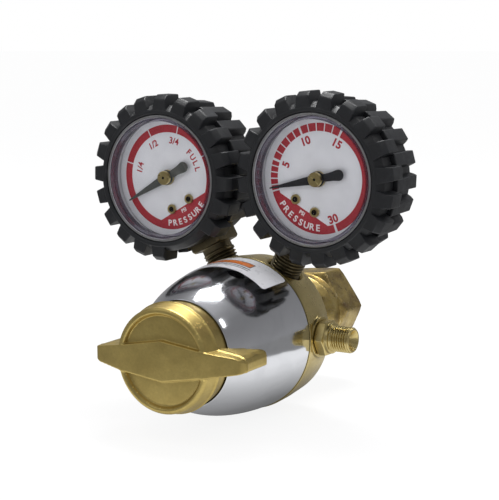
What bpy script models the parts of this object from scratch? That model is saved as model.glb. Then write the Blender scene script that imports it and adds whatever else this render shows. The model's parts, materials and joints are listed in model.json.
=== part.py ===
"""Two-gauge gas regulator with a T-handle, as separate closed solids.

Axes: +X outlet side, -Y front (handle and dials), +Y inlet, +Z up. The origin is the
centre of the assembly's bounding box. Helper functions take millimetres and degrees.

Frames: parts on the main axis are modelled in the axis frame, whose local Z runs along
the main axis to the front, with height 0 at the plane of the gauge stems. Gauge parts are
modelled in a gauge frame: local X right, local Y away from the main axis, local Z front.
"""

import math

import bmesh
import bpy
from mathutils import Matrix, Vector

MM = 0.001
GAP = 0.3  # between a piece and the piece it rests on
FINE, MEDIUM, SMALL, TINY = 36, 30, 20, 10  # facets round a turned piece

# Body and hub
PARTING = 9.3  # front face of the body's outer ring
BODY_RADIUS_FRONT = 31.9
BODY_RADIUS_REAR = 30.5
BODY_REAR = -9.6
SPIGOT_RADIUS = 28.2
SPIGOT_FRONT = 16.0
CHAMBER_RADIUS = 20.0
CHAMBER_FLOOR = -3.0
HUB_RADIUS = 14.5
HUB_REAR = -35.0
INLET_PORT_RADIUS = 8.0
INLET_PORT_FLOOR = -22.0
GUIDE_RADIUS = 3.2  # passage from the filter to the valve, which guides the poppet's tail
NOZZLE_PORT_RADIUS = 4.8
NOZZLE_SEAT = 6.0
OUTLET_BOSS_RADIUS = 8.3
OUTLET_BOSS_END = 31.9
OUTLET_PORT_RADIUS = 5.5
OUTLET_PORT_FLOOR = 24.3
STEM_PORT_RADIUS = 7.2
PASSAGE_RADIUS = 1.4
CONTENTS_PASSAGE_SHIFT = -5.2  # rearwards, so that it opens into the valve chamber

# Valve
VALVE_CHAMBER_RADIUS = 5.5
VALVE_CHAMBER_REAR = -17.3
NOZZLE_REAR = -1.0
PIN_RADIUS = 1.0

# Bonnet: superellipse of revolution
BONNET_RADIUS = 31.48
BONNET_CENTRE = 5.63
BONNET_LENGTH = 60.9
BONNET_EXPONENT = 2.35
BONNET_MOUTH = 54.4
MOUTH_RADIUS = 21.15
MOUTH_FLOOR = 46.5
BOSS_REAR, BOSS_FRONT = 43.0, 54.0  # the threaded boss inside the mouth
BOSS_RADIUS = 9.5
LEDGE = 18.2
VENT_ANGLE = 18.0  # from the top towards the outlet
VENT_PLACE = 29.5
VENT_HALF_WIDTH, VENT_HALF_LENGTH = 3.9, 2.7
LABEL_HALF_STEPS = 4  # facets of the bonnet on each side of the top
LABEL_FRONT = 26.5
LABEL_THICKNESS = 0.25

# Adjusting screw, spring and handle
SCREW_RADIUS = 6.35
SCREW_TIP = 40.8
SCREW_FRONT = 65.3
CAP_RADIUS = 7.2  # the button's cup and the plate's cup, which centre the spring
PLATE_FRONT = 19.0  # the diaphragm plate's face under the spring
BUTTON_RADIUS = 11.5
BUTTON_SEAT = 36.5
SPRING_RADIUS = 9.0
SPRING_WIRE = 1.1
CASTING_PARTING = 61.6  # the handle is widest here and tapers to the front and to the rear
KNOB_FRONT = 69.0
KNOB_FRONT_RADIUS = 20.5
KNOB_PARTING_RADIUS = 21.9
SKIRT_RADIUS = 20.6
SKIRT_REAR = 50.7
BAR_HALF_LENGTH = 33.8
BAR_HALF_HEIGHT = 8.0
BAR_END_HALF_HEIGHT = 3.3
BAR_FRONT = 69.4

# Inlet
NIPPLE_NECK_RADIUS = 7.0
NIPPLE_END = -57.0
NIPPLE_BORE = 2.5
FILTER_RADIUS = 4.2
FILTER_REAR = -33.0
NUT_COLLAR_RADIUS = 16.6
NUT_ACROSS_FLATS = 34.2
NUT_HEX_FRONT = -45.0
NUT_REAR = -61.0
NUT_THREAD_RADIUS = 11.3
NUT_TURN = 5.0

# Outlet
OUTLET_HEX_ACROSS_FLATS = 13.6
OUTLET_THREAD_RADIUS = 5.3
OUTLET_END = 46.4
OUTLET_BORE = 1.7

# Gauges
STEM_ANGLE = 29.0  # each stem leans this far from vertical
CONTENTS_DISTANCE = 72.3
DELIVERY_DISTANCE = 75.35
STEM_INNER_END = 26.5  # distance from the main axis to the end of a stem's thread
CASE_RADIUS = 26.3
CASE_WALL = 1.0
CASE_BACK = -12.0
CASE_RIM = 18.6
LENS_FRONT = 19.5
DIAL_PLANE = 11.0
DIAL_RADIUS = 25.0
DIAL_SCREW_PLACES = ((-4.9, -12.5), (4.9, -12.5))
SOCKET_WIDTH = 15.0
SOCKET_NECK = 33.3
SOCKET_INNER_WIDTH = 10.0
POINTER_LENGTH = 21.9
POINTER_TAIL = 11.8
CONTENTS_ZERO = 90.0  # pointer at rest, clockwise from the stem's direction
DELIVERY_ZERO = 49.0

# Boot
BOOT_INNER_RADIUS = 27.0
BOOT_FRONT = 19.2
BOOT_BACK = -13.4
LUG_COUNT = 20
FRONT_LUG_RADIUS = 34.7
REAR_LUG_RADIUS = 31.4
CONTENTS_LUG_TURN = 12.5
DELIVERY_LUG_TURN = 0.7
LUG_FREE_ANGLE = 16.0

# Gauge movement
PINION_TEETH = 8
SECTOR_TEETH_IN_CIRCLE = 72
GEAR_MODULE = 0.3125
SECTOR_FIRST_TOOTH, SECTOR_LAST_TOOTH = -7, 1  # counted from the line of centres
PIVOT_DISTANCE = GEAR_MODULE * (PINION_TEETH + SECTOR_TEETH_IN_CIRCLE) / 2
TAIL_PIN = (5.2, -3.0)  # from the sector's pivot
LINK_REACH = (9.6, 8.6)  # from the tail pin to the tube's tip
TUBE_RADIUS = 19.0
TUBE_START, TUBE_END = 252.0, -20.0

MATERIALS = {
    "brass": ((0.58, 0.45, 0.18), 0.35, 1.0),
    "dark_brass": ((0.26, 0.21, 0.10), 0.45, 1.0),
    "chrome": ((0.80, 0.80, 0.82), 0.06, 1.0),
    "steel": ((0.55, 0.55, 0.56), 0.35, 1.0),
    "bronze": ((0.45, 0.30, 0.15), 0.7, 1.0),
    "rubber": ((0.03, 0.03, 0.035), 0.6, 0.0),
    "label": ((0.85, 0.85, 0.85), 0.4, 0.0),
    "dial": ((0.88, 0.88, 0.87), 0.5, 0.0),
    "pointer": ((0.03, 0.03, 0.03), 0.45, 0.0),
    "seat_plastic": ((0.9, 0.9, 0.86), 0.5, 0.0),
    "lens": ((0.75, 0.75, 0.8), 0.08, 0.0),
}


# ---------------------------------------------------------------- scene and helpers


def clear_scene():
    for obj in list(bpy.data.objects):
        bpy.data.objects.remove(obj)


def collection(name, hidden=False):
    made = bpy.data.collections.new(name)
    bpy.context.scene.collection.children.link(made)
    made.hide_render = hidden
    return made


def material(name):
    if name in bpy.data.materials:
        return bpy.data.materials[name]
    colour, roughness, metallic = MATERIALS[name]
    made = bpy.data.materials.new(name)
    made.use_nodes = True
    shader = made.node_tree.nodes["Principled BSDF"]
    shader.inputs["Base Color"].default_value = (*colour, 1.0)
    shader.inputs["Roughness"].default_value = roughness
    shader.inputs["Metallic"].default_value = metallic
    made.diffuse_color = (*colour, 1.0)
    return made


def empty(name, parent=None, location=(0, 0, 0), rotation=(0, 0, 0)):
    made = bpy.data.objects.new(name, None)
    PARTS.objects.link(made)
    place(made, parent, location, rotation)
    return made


def place(obj, parent, location=(0, 0, 0), rotation=(0, 0, 0)):
    obj.parent = parent
    obj.location = Vector(location) * MM
    obj.rotation_euler = [math.radians(angle) for angle in rotation]
    return obj


def node(name, mesh, parent, slot=None, location=(0, 0, 0), rotation=(0, 0, 0)):
    """An object in the parts collection, or a helper for Booleans if it has no slot."""
    obj = bpy.data.objects.new(name, mesh)
    if slot:
        PARTS.objects.link(obj)
        mesh.materials.append(material(slot))
    else:
        CUTTERS.objects.link(obj)
        obj.hide_render = True
        obj.display_type = "WIRE"
    return place(obj, parent, location, rotation)


def boolean(target, helper, operation):
    modifier = target.modifiers.new(helper.name, "BOOLEAN")
    modifier.operation = operation
    modifier.solver = "EXACT"
    modifier.object = helper


def cut(target, *helpers):
    for helper in helpers:
        boolean(target, helper, "DIFFERENCE")


def join(target, *helpers):
    for helper in helpers:
        boolean(target, helper, "UNION")


def turned_mesh(name, profile, closed=False):
    """The outline of a turned piece: (radius, height) pairs down the outer side."""
    bm = bmesh.new()
    points = [bm.verts.new((radius * MM, 0, height * MM)) for radius, height in profile]
    for first, second in zip(points, points[1:]):
        bm.edges.new((first, second))
    if closed:
        bm.edges.new((points[-1], points[0]))
    mesh = bpy.data.meshes.new(name)
    bm.to_mesh(mesh)
    bm.free()
    return mesh


def turned(name, profile, parent, slot=None, steps=SMALL, closed=False, **where):
    """A piece turned about its local Z. A closed profile makes a ring."""
    obj = node(name, turned_mesh(name, profile, closed), parent, slot, **where)
    screw = obj.modifiers.new("Turn", "SCREW")
    screw.axis = "Z"
    screw.angle = math.radians(360)
    screw.steps = steps
    screw.render_steps = steps
    screw.use_merge_vertices = True
    screw.merge_threshold = 0.00001
    screw.use_smooth_shade = True
    return obj


def rod(name, radius, bottom, top, parent, slot=None, facets=8, axis="Z", at=(0, 0)):
    """A cylinder from bottom to top along its axis, at two coordinates across it."""
    bm = bmesh.new()
    bmesh.ops.create_cone(
        bm, cap_ends=True, segments=facets, radius1=radius * MM, radius2=radius * MM,
        depth=(top - bottom) * MM,
    )
    mesh = bpy.data.meshes.new(name)
    bm.to_mesh(mesh)
    bm.free()
    middle = (top + bottom) / 2
    if axis == "Z":
        return node(name, mesh, parent, slot, (at[0], at[1], middle))
    return node(name, mesh, parent, slot, (middle, at[0], at[1]), (0, 90, 0))


def block(name, size, centre, parent, slot=None):
    bm = bmesh.new()
    bmesh.ops.create_cube(bm, size=1.0, matrix=Matrix.Diagonal((*(Vector(size) * MM), 1.0)))
    mesh = bpy.data.meshes.new(name)
    bm.to_mesh(mesh)
    bm.free()
    return node(name, mesh, parent, slot, centre)


def welded_mesh(curve_object, name):
    """The curve's evaluated mesh with its caps joined to its sides."""
    bpy.context.view_layer.update()
    graph = bpy.context.evaluated_depsgraph_get()
    mesh = bpy.data.meshes.new_from_object(curve_object.evaluated_get(graph))
    mesh.name = name
    bm = bmesh.new()
    bm.from_mesh(mesh)
    bmesh.ops.remove_doubles(bm, verts=bm.verts, dist=0.000001)
    bmesh.ops.recalc_face_normals(bm, faces=bm.faces)
    bm.to_mesh(mesh)
    bm.free()
    mesh.materials.clear()
    curve = curve_object.data
    bpy.data.objects.remove(curve_object)
    bpy.data.curves.remove(curve)
    return mesh


def add_line(curve, points, cyclic):
    spline = curve.splines.new("POLY")
    spline.points.add(len(points) - 1)
    for point, place_of_point in zip(spline.points, points):
        x, y, z = (*place_of_point, 0)[:3]
        point.co = (x * MM, y * MM, z * MM, 1)
    spline.use_cyclic_u = cyclic


def plate(name, outlines, bottom, top, parent, slot=None, **where):
    """A flat piece from bottom to top: the first outline is its edge, the rest are holes."""
    curve = bpy.data.curves.new(name, "CURVE")
    curve.dimensions = "2D"
    curve.fill_mode = "BOTH"
    curve.extrude = (top - bottom) / 2 * MM
    for outline in outlines:
        add_line(curve, outline, True)
    made = bpy.data.objects.new(name, curve)
    PARTS.objects.link(made)
    mesh = welded_mesh(made, name)
    mesh.transform(Matrix.Translation((0, 0, (top + bottom) / 2 * MM)))
    return node(name, mesh, parent, slot, **where)


def wire(name, points, thickness, parent, slot, resolution=0, flatten=1.0, **where):
    """A round wire along the points; flatten stretches its section along local Z."""
    curve = bpy.data.curves.new(name, "CURVE")
    curve.dimensions = "3D"
    curve.bevel_depth = thickness * MM
    curve.bevel_resolution = resolution
    curve.use_fill_caps = True
    add_line(curve, points, False)
    made = bpy.data.objects.new(name, curve)
    PARTS.objects.link(made)
    mesh = welded_mesh(made, name)
    mesh.transform(Matrix.Diagonal((1, 1, flatten, 1)))
    for polygon in mesh.polygons:
        polygon.use_smooth = True
    return node(name, mesh, parent, slot, **where)


def polar(radius, degrees, centre=(0, 0)):
    angle = math.radians(degrees)
    return (centre[0] + radius * math.cos(angle), centre[1] + radius * math.sin(angle))


def arc(radius, start, end, count, centre=(0, 0)):
    return [
        polar(radius, start + (end - start) * step / (count - 1), centre)
        for step in range(count)
    ]


def circle(radius, count, centre=(0, 0)):
    return arc(radius, 0, 360 * (count - 1) / count, count, centre)


def coil(radius, start, end, turns, per_turn):
    points = []
    for step in range(turns * per_turn + 1):
        x, y = polar(radius, 360 * step / per_turn)
        points.append((x, y, start + (end - start) * step / (turns * per_turn)))
    return points


def hexagon_cutter(name, across_flats, bottom, top, parent, turn=0.0, axis="Z"):
    """A thick ring with a six-sided hole, which leaves a hexagon on what it cuts."""
    corner = across_flats / math.sqrt(3)
    hole = [polar(corner, turn + 60 * side) for side in range(6)]
    edge = circle(across_flats, TINY)
    if axis == "Z":
        return plate(name, [edge, hole], bottom, top, parent)
    return plate(name, [edge, hole], bottom, top, parent, rotation=(0, 90, 0))


# ---------------------------------------------------------------- main axis parts


def build_body(axis, stems):
    body = turned(
        "regulator_body",
        [
            (SPIGOT_RADIUS, SPIGOT_FRONT),
            (SPIGOT_RADIUS, PARTING),
            (BODY_RADIUS_FRONT, PARTING),
            (BODY_RADIUS_REAR, BODY_REAR),
            (HUB_RADIUS + 2.5, BODY_REAR),
            (HUB_RADIUS, BODY_REAR - 3.0),
            (HUB_RADIUS, HUB_REAR + 1.5),
            (HUB_RADIUS - 1.5, HUB_REAR),
            (INLET_PORT_RADIUS, HUB_REAR),
            (INLET_PORT_RADIUS, INLET_PORT_FLOOR),
            (GUIDE_RADIUS, INLET_PORT_FLOOR),
            (GUIDE_RADIUS, VALVE_CHAMBER_REAR),
            (VALVE_CHAMBER_RADIUS, VALVE_CHAMBER_REAR),
            (VALVE_CHAMBER_RADIUS, NOZZLE_REAR - GAP),
            (NOZZLE_PORT_RADIUS, NOZZLE_REAR - GAP),
            (NOZZLE_PORT_RADIUS, NOZZLE_SEAT),
            (9.0, NOZZLE_SEAT),
            (9.0, CHAMBER_FLOOR),
            (CHAMBER_RADIUS, CHAMBER_FLOOR),
            (CHAMBER_RADIUS, 8.0),
            (23.0, 8.0),
            (23.0, SPIGOT_FRONT),
        ],
        axis, "brass", steps=MEDIUM, closed=True,
    )
    join(body, rod("outlet_boss", OUTLET_BOSS_RADIUS, 25.0, OUTLET_BOSS_END, axis, facets=SMALL,
                   axis="X"))
    cut(body, rod("outlet_port", OUTLET_PORT_RADIUS, OUTLET_PORT_FLOOR, 40.0, axis, facets=SMALL,
                  axis="X"))
    cut(body, rod("outlet_passage", OUTLET_BORE, 15.0, 25.0, axis, facets=8, axis="X"))
    port_floor = STEM_INNER_END - 2.0
    for name, stem in stems.items():
        to_chamber = name == "delivery"
        shift = 0.0 if to_chamber else CONTENTS_PASSAGE_SHIFT
        inner_end = CHAMBER_RADIUS - 3.0 if to_chamber else VALVE_CHAMBER_RADIUS - 2.0
        cut(body, rod(name + "_port", STEM_PORT_RADIUS, port_floor, 40.0, stem, facets=SMALL))
        cut(body, rod(name + "_passage", PASSAGE_RADIUS, inner_end, port_floor + 1.0, stem,
                      facets=8, at=(0, shift)))
    return body


def bonnet_radius(front):
    """Outer radius of the bonnet at a distance in front of the stems' plane."""
    along = (front - BONNET_CENTRE) / BONNET_LENGTH
    return BONNET_RADIUS * (1 - along**BONNET_EXPONENT) ** (1 / BONNET_EXPONENT)


def build_bonnet(axis):
    rear = PARTING + GAP
    lip = BONNET_MOUTH - 0.4
    heights = [lip, 51.0, 47.0, 42.0, 37.0, 32.0, LABEL_FRONT, 19.0, rear]
    outer = [(bonnet_radius(height), height) for height in heights]
    bonnet = turned(
        "bonnet",
        [(MOUTH_RADIUS + 0.2, BONNET_MOUTH)]
        + outer
        + [
            (SPIGOT_RADIUS + GAP, rear),
            (SPIGOT_RADIUS + GAP, LEDGE),
            (24.5, LEDGE),
            (24.5, 30.0),
            (22.5, 40.0),
            (20.0, BOSS_REAR),
            (SCREW_RADIUS + GAP, BOSS_REAR),
            (SCREW_RADIUS + GAP, BOSS_FRONT),
            (BOSS_RADIUS, BOSS_FRONT),
            (BOSS_RADIUS, MOUTH_FLOOR),
            (MOUTH_RADIUS, MOUTH_FLOOR),
            (MOUTH_RADIUS, lip),
        ],
        axis, "chrome", steps=FINE, closed=True,
    )
    vent_frame = empty("vent_frame", axis, (0, 0, VENT_PLACE), (0, 0, -VENT_ANGLE))
    edge = [(VENT_HALF_WIDTH * x, VENT_HALF_LENGTH * y) for x, y in circle(1, TINY)]
    vent = plate("vent_cutter", [edge], 20.0, 40.0, vent_frame, rotation=(-90, 0, 0))
    cut(bonnet, vent)
    return bonnet


def build_label(axis):
    """A printed foil wrapped over the top of the bonnet, in facets like the bonnet's."""
    step = 360 / FINE
    lift = 0.06
    heights = [LABEL_FRONT, 19.0, PARTING + GAP + 0.4]
    inner = [(bonnet_radius(height) + lift, height) for height in heights]
    outer = [(radius + LABEL_THICKNESS, height) for radius, height in inner]
    bm = bmesh.new()
    rows = []
    for index in range(-LABEL_HALF_STEPS, LABEL_HALF_STEPS + 1):
        turn = Matrix.Rotation(math.radians(90 + index * step), 4, "Z")
        rows.append([
            bm.verts.new(turn @ Vector((radius * MM, 0, height * MM)))
            for radius, height in outer + inner[::-1]
        ])
    count = len(rows[0])
    for row, following in zip(rows, rows[1:]):
        for place_in_row in range(count):
            after = (place_in_row + 1) % count
            bm.faces.new((row[place_in_row], row[after], following[after],
                          following[place_in_row]))
    bm.faces.new(rows[0][::-1])
    bm.faces.new(rows[-1])
    bmesh.ops.recalc_face_normals(bm, faces=bm.faces)
    mesh = bpy.data.meshes.new("bonnet_label")
    bm.to_mesh(mesh)
    bm.free()
    return node("bonnet_label", mesh, axis, "label")


def build_valve(axis):
    turned(
        "valve_nozzle",
        [(6.5, 8.8), (6.5, 6.3), (4.5, 6.3), (4.5, NOZZLE_REAR), (2.0, NOZZLE_REAR), (2.0, 8.8)],
        axis, "brass", steps=SMALL, closed=True,
    )
    turned(
        "valve_seat",
        [(3.6, -1.3), (3.6, -2.9), (1.3, -2.9), (1.3, -1.3)],
        axis, "seat_plastic", steps=TINY, closed=True,
    )
    turned(
        "valve_poppet",
        [(0, 13.5), (PIN_RADIUS, 13.3), (PIN_RADIUS, -3.2), (4.2, -3.2), (4.2, -6.0),
         (1.4, -6.0), (1.4, -19.0), (0, -19.0)],
        axis, "steel", steps=TINY,
    )
    wire("valve_spring", coil(3.65, -6.65, VALVE_CHAMBER_REAR + 0.65, 5, 8), 0.3, axis, "steel")


def build_diaphragm(axis):
    outer = SPIGOT_RADIUS - GAP
    turned(
        "diaphragm",
        [(outer, 17.1), (outer, 16.3), (24.0, 16.3), (20.5, 17.2), (17.0, 16.3), (2.3, 16.3),
         (2.3, 17.1), (17.0, 17.1), (20.5, 18.0), (24.0, 17.1)],
        axis, "rubber", closed=True,
    )
    turned(
        "diaphragm_slip_ring",
        [(outer, LEDGE - GAP), (outer, 17.4), (24.8, 17.4), (24.8, LEDGE - GAP)],
        axis, "steel", closed=True,
    )
    turned(
        "diaphragm_plate",
        [(0, 21.0), (CAP_RADIUS, 21.0), (CAP_RADIUS, PLATE_FRONT), (16.0, PLATE_FRONT),
         (16.0, 17.4), (2.0, 17.4),
         (2.0, 15.8), (5.0, 15.8), (5.0, 13.8), (0, 13.8)],
        axis, "steel",
    )


def build_adjuster(axis):
    bottom = PLATE_FRONT + GAP + SPRING_WIRE
    top = BUTTON_SEAT - GAP - SPRING_WIRE
    wire("adjusting_spring", coil(SPRING_RADIUS, bottom, top, 5, 12), SPRING_WIRE, axis, "steel",
         resolution=1)
    turned(
        "spring_button",
        [(0, SCREW_TIP - GAP), (6.0, SCREW_TIP - GAP), (BUTTON_RADIUS, 38.5),
         (BUTTON_RADIUS, BUTTON_SEAT), (CAP_RADIUS, BUTTON_SEAT), (CAP_RADIUS, BUTTON_SEAT - 2.0),
         (0, BUTTON_SEAT - 2.0)],
        axis, "steel", steps=SMALL,
    )
    turned(
        "adjusting_screw",
        [(0, SCREW_FRONT), (SCREW_RADIUS, SCREW_FRONT), (SCREW_RADIUS, SCREW_TIP + 2.0),
         (4.0, SCREW_TIP), (0, SCREW_TIP)],
        axis, "brass", steps=SMALL,
    )


def handle_bar(axis):
    """The T-bar: its front outline and its side outline, each extruded and intersected."""
    half, tip = BAR_HALF_LENGTH, BAR_END_HALF_HEIGHT
    end = [(half - 2.0, tip), (half - 0.6, tip - 0.8), (half, tip - 2.2)]
    front = [(x, -y) for x, y in end] + end[::-1] + [(0, BAR_HALF_HEIGHT)]
    front += [(-x, y) for x, y in end] + [(-x, -y) for x, y in end[::-1]] + [(0, -BAR_HALF_HEIGHT)]
    side = [(19.0, BAR_FRONT), (half - 2.2, 65.8), (half - 0.8, 64.6), (half, CASTING_PARTING),
            (half - 0.6, 47.0), (half - 1.6, 45.9), (29.6, 48.4), (21.9, 56.6), (19.4, 58.5),
            (19.4, 66.4)]
    side = [(-x, y) for x, y in side] + side[::-1]
    bar = plate("handle_bar_front", [front], 40.0, 80.0, axis)
    depth = plate("handle_bar_side", [side], -20.0, 20.0, axis, rotation=(90, 0, 0))
    boolean(bar, depth, "INTERSECT")
    return bar


def build_knob(axis):
    knob = turned(
        "adjusting_knob",
        [(0, 67.4), (17.0, 67.4), (17.8, 68.4), (18.4, KNOB_FRONT), (19.6, KNOB_FRONT),
         (KNOB_FRONT_RADIUS, 68.4), (21.4, CASTING_PARTING + 0.6),
         (KNOB_PARTING_RADIUS, CASTING_PARTING + 0.2), (KNOB_PARTING_RADIUS, CASTING_PARTING - 0.4),
         (21.3, CASTING_PARTING - 0.8), (SKIRT_RADIUS + 0.1, 54.5), (SKIRT_RADIUS, SKIRT_REAR + 0.5),
         (SKIRT_RADIUS - 0.5, SKIRT_REAR), (18.6, SKIRT_REAR), (18.6, 62.0),
         (SCREW_RADIUS + GAP, 62.0), (SCREW_RADIUS + GAP, SCREW_FRONT + GAP),
         (0, SCREW_FRONT + GAP)],
        axis, "brass", steps=MEDIUM,
    )
    join(knob, handle_bar(axis))
    return knob


def build_inlet(axis):
    flange_front = NUT_HEX_FRONT + 0.7
    tail = INLET_PORT_RADIUS - GAP
    turned(
        "inlet_nipple",
        [(tail, INLET_PORT_FLOOR - GAP), (tail, HUB_REAR), (NIPPLE_NECK_RADIUS, HUB_REAR),
         (NIPPLE_NECK_RADIUS, flange_front), (10.2, flange_front), (10.2, -48.0), (9.0, -49.0),
         (8.3, -52.5), (5.2, NIPPLE_END), (NIPPLE_BORE, NIPPLE_END), (NIPPLE_BORE, FILTER_REAR),
         (FILTER_RADIUS + GAP, FILTER_REAR), (FILTER_RADIUS + GAP, INLET_PORT_FLOOR - GAP)],
        axis, "brass", closed=True,
    )
    filter_ends = (INLET_PORT_FLOOR - 0.8, FILTER_REAR + 0.4)
    turned(
        "inlet_filter",
        [(0, filter_ends[0]), (FILTER_RADIUS, filter_ends[0]), (FILTER_RADIUS, filter_ends[1]),
         (0, filter_ends[1])],
        axis, "bronze", steps=SMALL,
    )
    corner = NUT_ACROSS_FLATS / math.sqrt(3)
    nut = turned(
        "inlet_nut",
        [(13.2, HUB_REAR - 1.0), (NUT_COLLAR_RADIUS, -40.0), (NUT_COLLAR_RADIUS, NUT_HEX_FRONT),
         (corner, NUT_HEX_FRONT - 2.2), (corner, NUT_REAR + 0.4), (corner - 0.6, NUT_REAR),
         (NUT_THREAD_RADIUS + 0.8, NUT_REAR), (NUT_THREAD_RADIUS, NUT_REAR + 0.8),
         (NUT_THREAD_RADIUS, -44.0), (NIPPLE_NECK_RADIUS + 0.4, -44.0),
         (NIPPLE_NECK_RADIUS + 0.4, HUB_REAR - 1.0)],
        axis, "brass", steps=MEDIUM, closed=True,
    )
    cut(nut, hexagon_cutter("nut_hexagon", NUT_ACROSS_FLATS, NUT_REAR - 5.0, NUT_HEX_FRONT, axis,
                            turn=NUT_TURN))
    return nut


def build_outlet(axis):
    corner = OUTLET_HEX_ACROSS_FLATS / math.sqrt(3)
    thread = OUTLET_THREAD_RADIUS
    tail = OUTLET_PORT_RADIUS - GAP
    outlet = turned(
        "outlet_fitting",
        [(4.8, OUTLET_END), (thread, OUTLET_END - 0.5), (thread, 37.5), (6.3, 37.3), (6.3, 36.0),
         (corner, 35.6), (corner, OUTLET_BOSS_END + GAP), (tail, OUTLET_BOSS_END + GAP),
         (tail, OUTLET_PORT_FLOOR + GAP), (OUTLET_BORE, OUTLET_PORT_FLOOR + GAP),
         (OUTLET_BORE, OUTLET_END - 4.4), (4.1, OUTLET_END)],
        axis, "brass", closed=True, rotation=(0, 90, 0),
    )
    cut(outlet, hexagon_cutter("outlet_hexagon", OUTLET_HEX_ACROSS_FLATS, 31.0, 35.9, axis,
                               axis="X"))
    return outlet


# ---------------------------------------------------------------- gauges


def build_socket(prefix, stem, distance):
    """Brass socket in the stem frame, whose local Z is the distance from the main axis."""
    neck = distance - SOCKET_NECK
    inner_top = distance - 18.0
    socket = turned(
        prefix + "socket",
        [(0, neck + 1.0), (6.4, neck + 1.0), (6.4, neck - 2.5), (6.9, neck - 3.0),
         (6.5, STEM_INNER_END + 0.8), (5.8, STEM_INNER_END), (0, STEM_INNER_END)],
        stem, "dark_brass", steps=16,
    )
    outer_height = SOCKET_NECK - 27.0
    join(socket, block(prefix + "socket_block", (SOCKET_WIDTH, SOCKET_WIDTH, outer_height),
                       (0, 0, neck + outer_height / 2), stem))
    inner_bottom = distance - 28.0
    join(socket, block(prefix + "socket_holder",
                       (SOCKET_INNER_WIDTH, SOCKET_INNER_WIDTH, inner_top - inner_bottom),
                       (0, 0, (inner_top + inner_bottom) / 2), stem))
    cut(socket, rod(prefix + "socket_passage", 1.5, STEM_INNER_END - 1.0, distance - 20.0, stem))
    cut(socket, rod(prefix + "tube_feed", 0.9, -8.0, 0.0, stem, facets=8, axis="X",
                    at=(0, distance - 21.0)))
    return socket


def build_case(prefix, gauge):
    inner = CASE_RADIUS - CASE_WALL
    case = turned(
        prefix + "case",
        [(0, CASE_BACK + CASE_WALL), (inner, CASE_BACK + CASE_WALL), (inner, CASE_RIM),
         (CASE_RADIUS, CASE_RIM), (CASE_RADIUS, CASE_BACK + 1.5), (CASE_RADIUS - 1.5, CASE_BACK),
         (0, CASE_BACK)],
        gauge, "steel", steps=MEDIUM,
    )
    side = SOCKET_INNER_WIDTH + 2 * GAP
    cut(case, block(prefix + "case_slot", (side, 12.0, side), (0, -26.0, 0), gauge))
    turned(
        prefix + "lens",
        [(0, LENS_FRONT - 0.2), (18.0, LENS_FRONT - 0.2), (24.2, LENS_FRONT - 0.4),
         (DIAL_RADIUS, LENS_FRONT - 1.0), (DIAL_RADIUS, 14.5), (DIAL_RADIUS - 1.2, 14.5),
         (DIAL_RADIUS - 1.2, LENS_FRONT - 1.7), (0, LENS_FRONT - 1.7)],
        gauge, "lens", steps=MEDIUM,
    )


def lug_points(outline, foot_width, top_width, turn):
    """Corners of one tread lug: a side outline of (radius, height), narrower at its top."""
    low = min(radius for radius, height in outline)
    high = max(radius for radius, height in outline)
    spin = Matrix.Rotation(math.radians(turn), 4, "Z")
    points = []
    for radius, height in outline:
        half = (foot_width + (top_width - foot_width) * (radius - low) / (high - low)) / 2
        for across in (-half, half):
            points.append(spin @ Vector((across * MM, -radius * MM, height * MM)))
    return points


def build_boot(prefix, gauge, turn):
    """Rubber boot: a ring with two rows of tread lugs, half a pitch apart, but none by the stem."""
    boot = turned(
        prefix + "boot",
        [(28.0, BOOT_FRONT), (30.5, 15.5), (30.5, 8.0), (28.2, 6.5), (28.2, BOOT_BACK),
         (22.5, BOOT_BACK), (22.5, CASE_BACK - 0.4), (BOOT_INNER_RADIUS, CASE_BACK - 0.4),
         (BOOT_INNER_RADIUS, BOOT_FRONT)],
        gauge, "rubber", steps=LUG_COUNT, closed=True,
        rotation=(0, 0, 180 / LUG_COUNT - turn),
    )
    root = BOOT_INNER_RADIUS + 0.5
    front = [(root, 8.0), (FRONT_LUG_RADIUS, 8.0), (FRONT_LUG_RADIUS, 16.4), (33.0, 18.4),
             (root, 18.9)]
    rear = [(root, 7.6), (REAR_LUG_RADIUS + 1.0, 7.6), (REAR_LUG_RADIUS, -11.8), (root, -12.9)]
    bm = bmesh.new()
    for index in range(LUG_COUNT):
        angle = -turn - index * 360 / LUG_COUNT
        half_pitch = 180 / LUG_COUNT
        for outline, foot, top, shift in ((front, 6.8, 5.0, 0.0), (rear, 6.2, 4.6, half_pitch)):
            from_stem = (angle + shift + 180) % 360 - 180
            if abs(from_stem) < LUG_FREE_ANGLE:
                continue
            corners = [bm.verts.new(p) for p in lug_points(outline, foot, top, angle + shift)]
            bmesh.ops.convex_hull(bm, input=corners, use_existing_faces=False)
    bmesh.ops.recalc_face_normals(bm, faces=bm.faces)
    mesh = bpy.data.meshes.new(prefix + "lugs")
    bm.to_mesh(mesh)
    bm.free()
    join(boot, node(prefix + "lugs", mesh, gauge))
    slot = SOCKET_WIDTH + 2 * GAP
    cut(boot, block(prefix + "boot_slot", (slot, 14.0, slot), (0, -31.0, 0), gauge))
    return boot


def gear_outline(teeth, first, last, phase):
    """Points round teeth first..last of a gear, tooth 0 centred on phase degrees."""
    radius = GEAR_MODULE * teeth / 2
    pitch = 360 / teeth
    shape = ((-0.25, -1.0), (-0.12, 0.72), (0.12, 0.72), (0.25, -1.0))
    points = []
    for tooth in range(first, last + 1):
        for part_of_pitch, modules in shape:
            angle = phase + (tooth + part_of_pitch) * pitch
            points.append(polar(radius + modules * GEAR_MODULE, angle))
    return points


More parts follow.
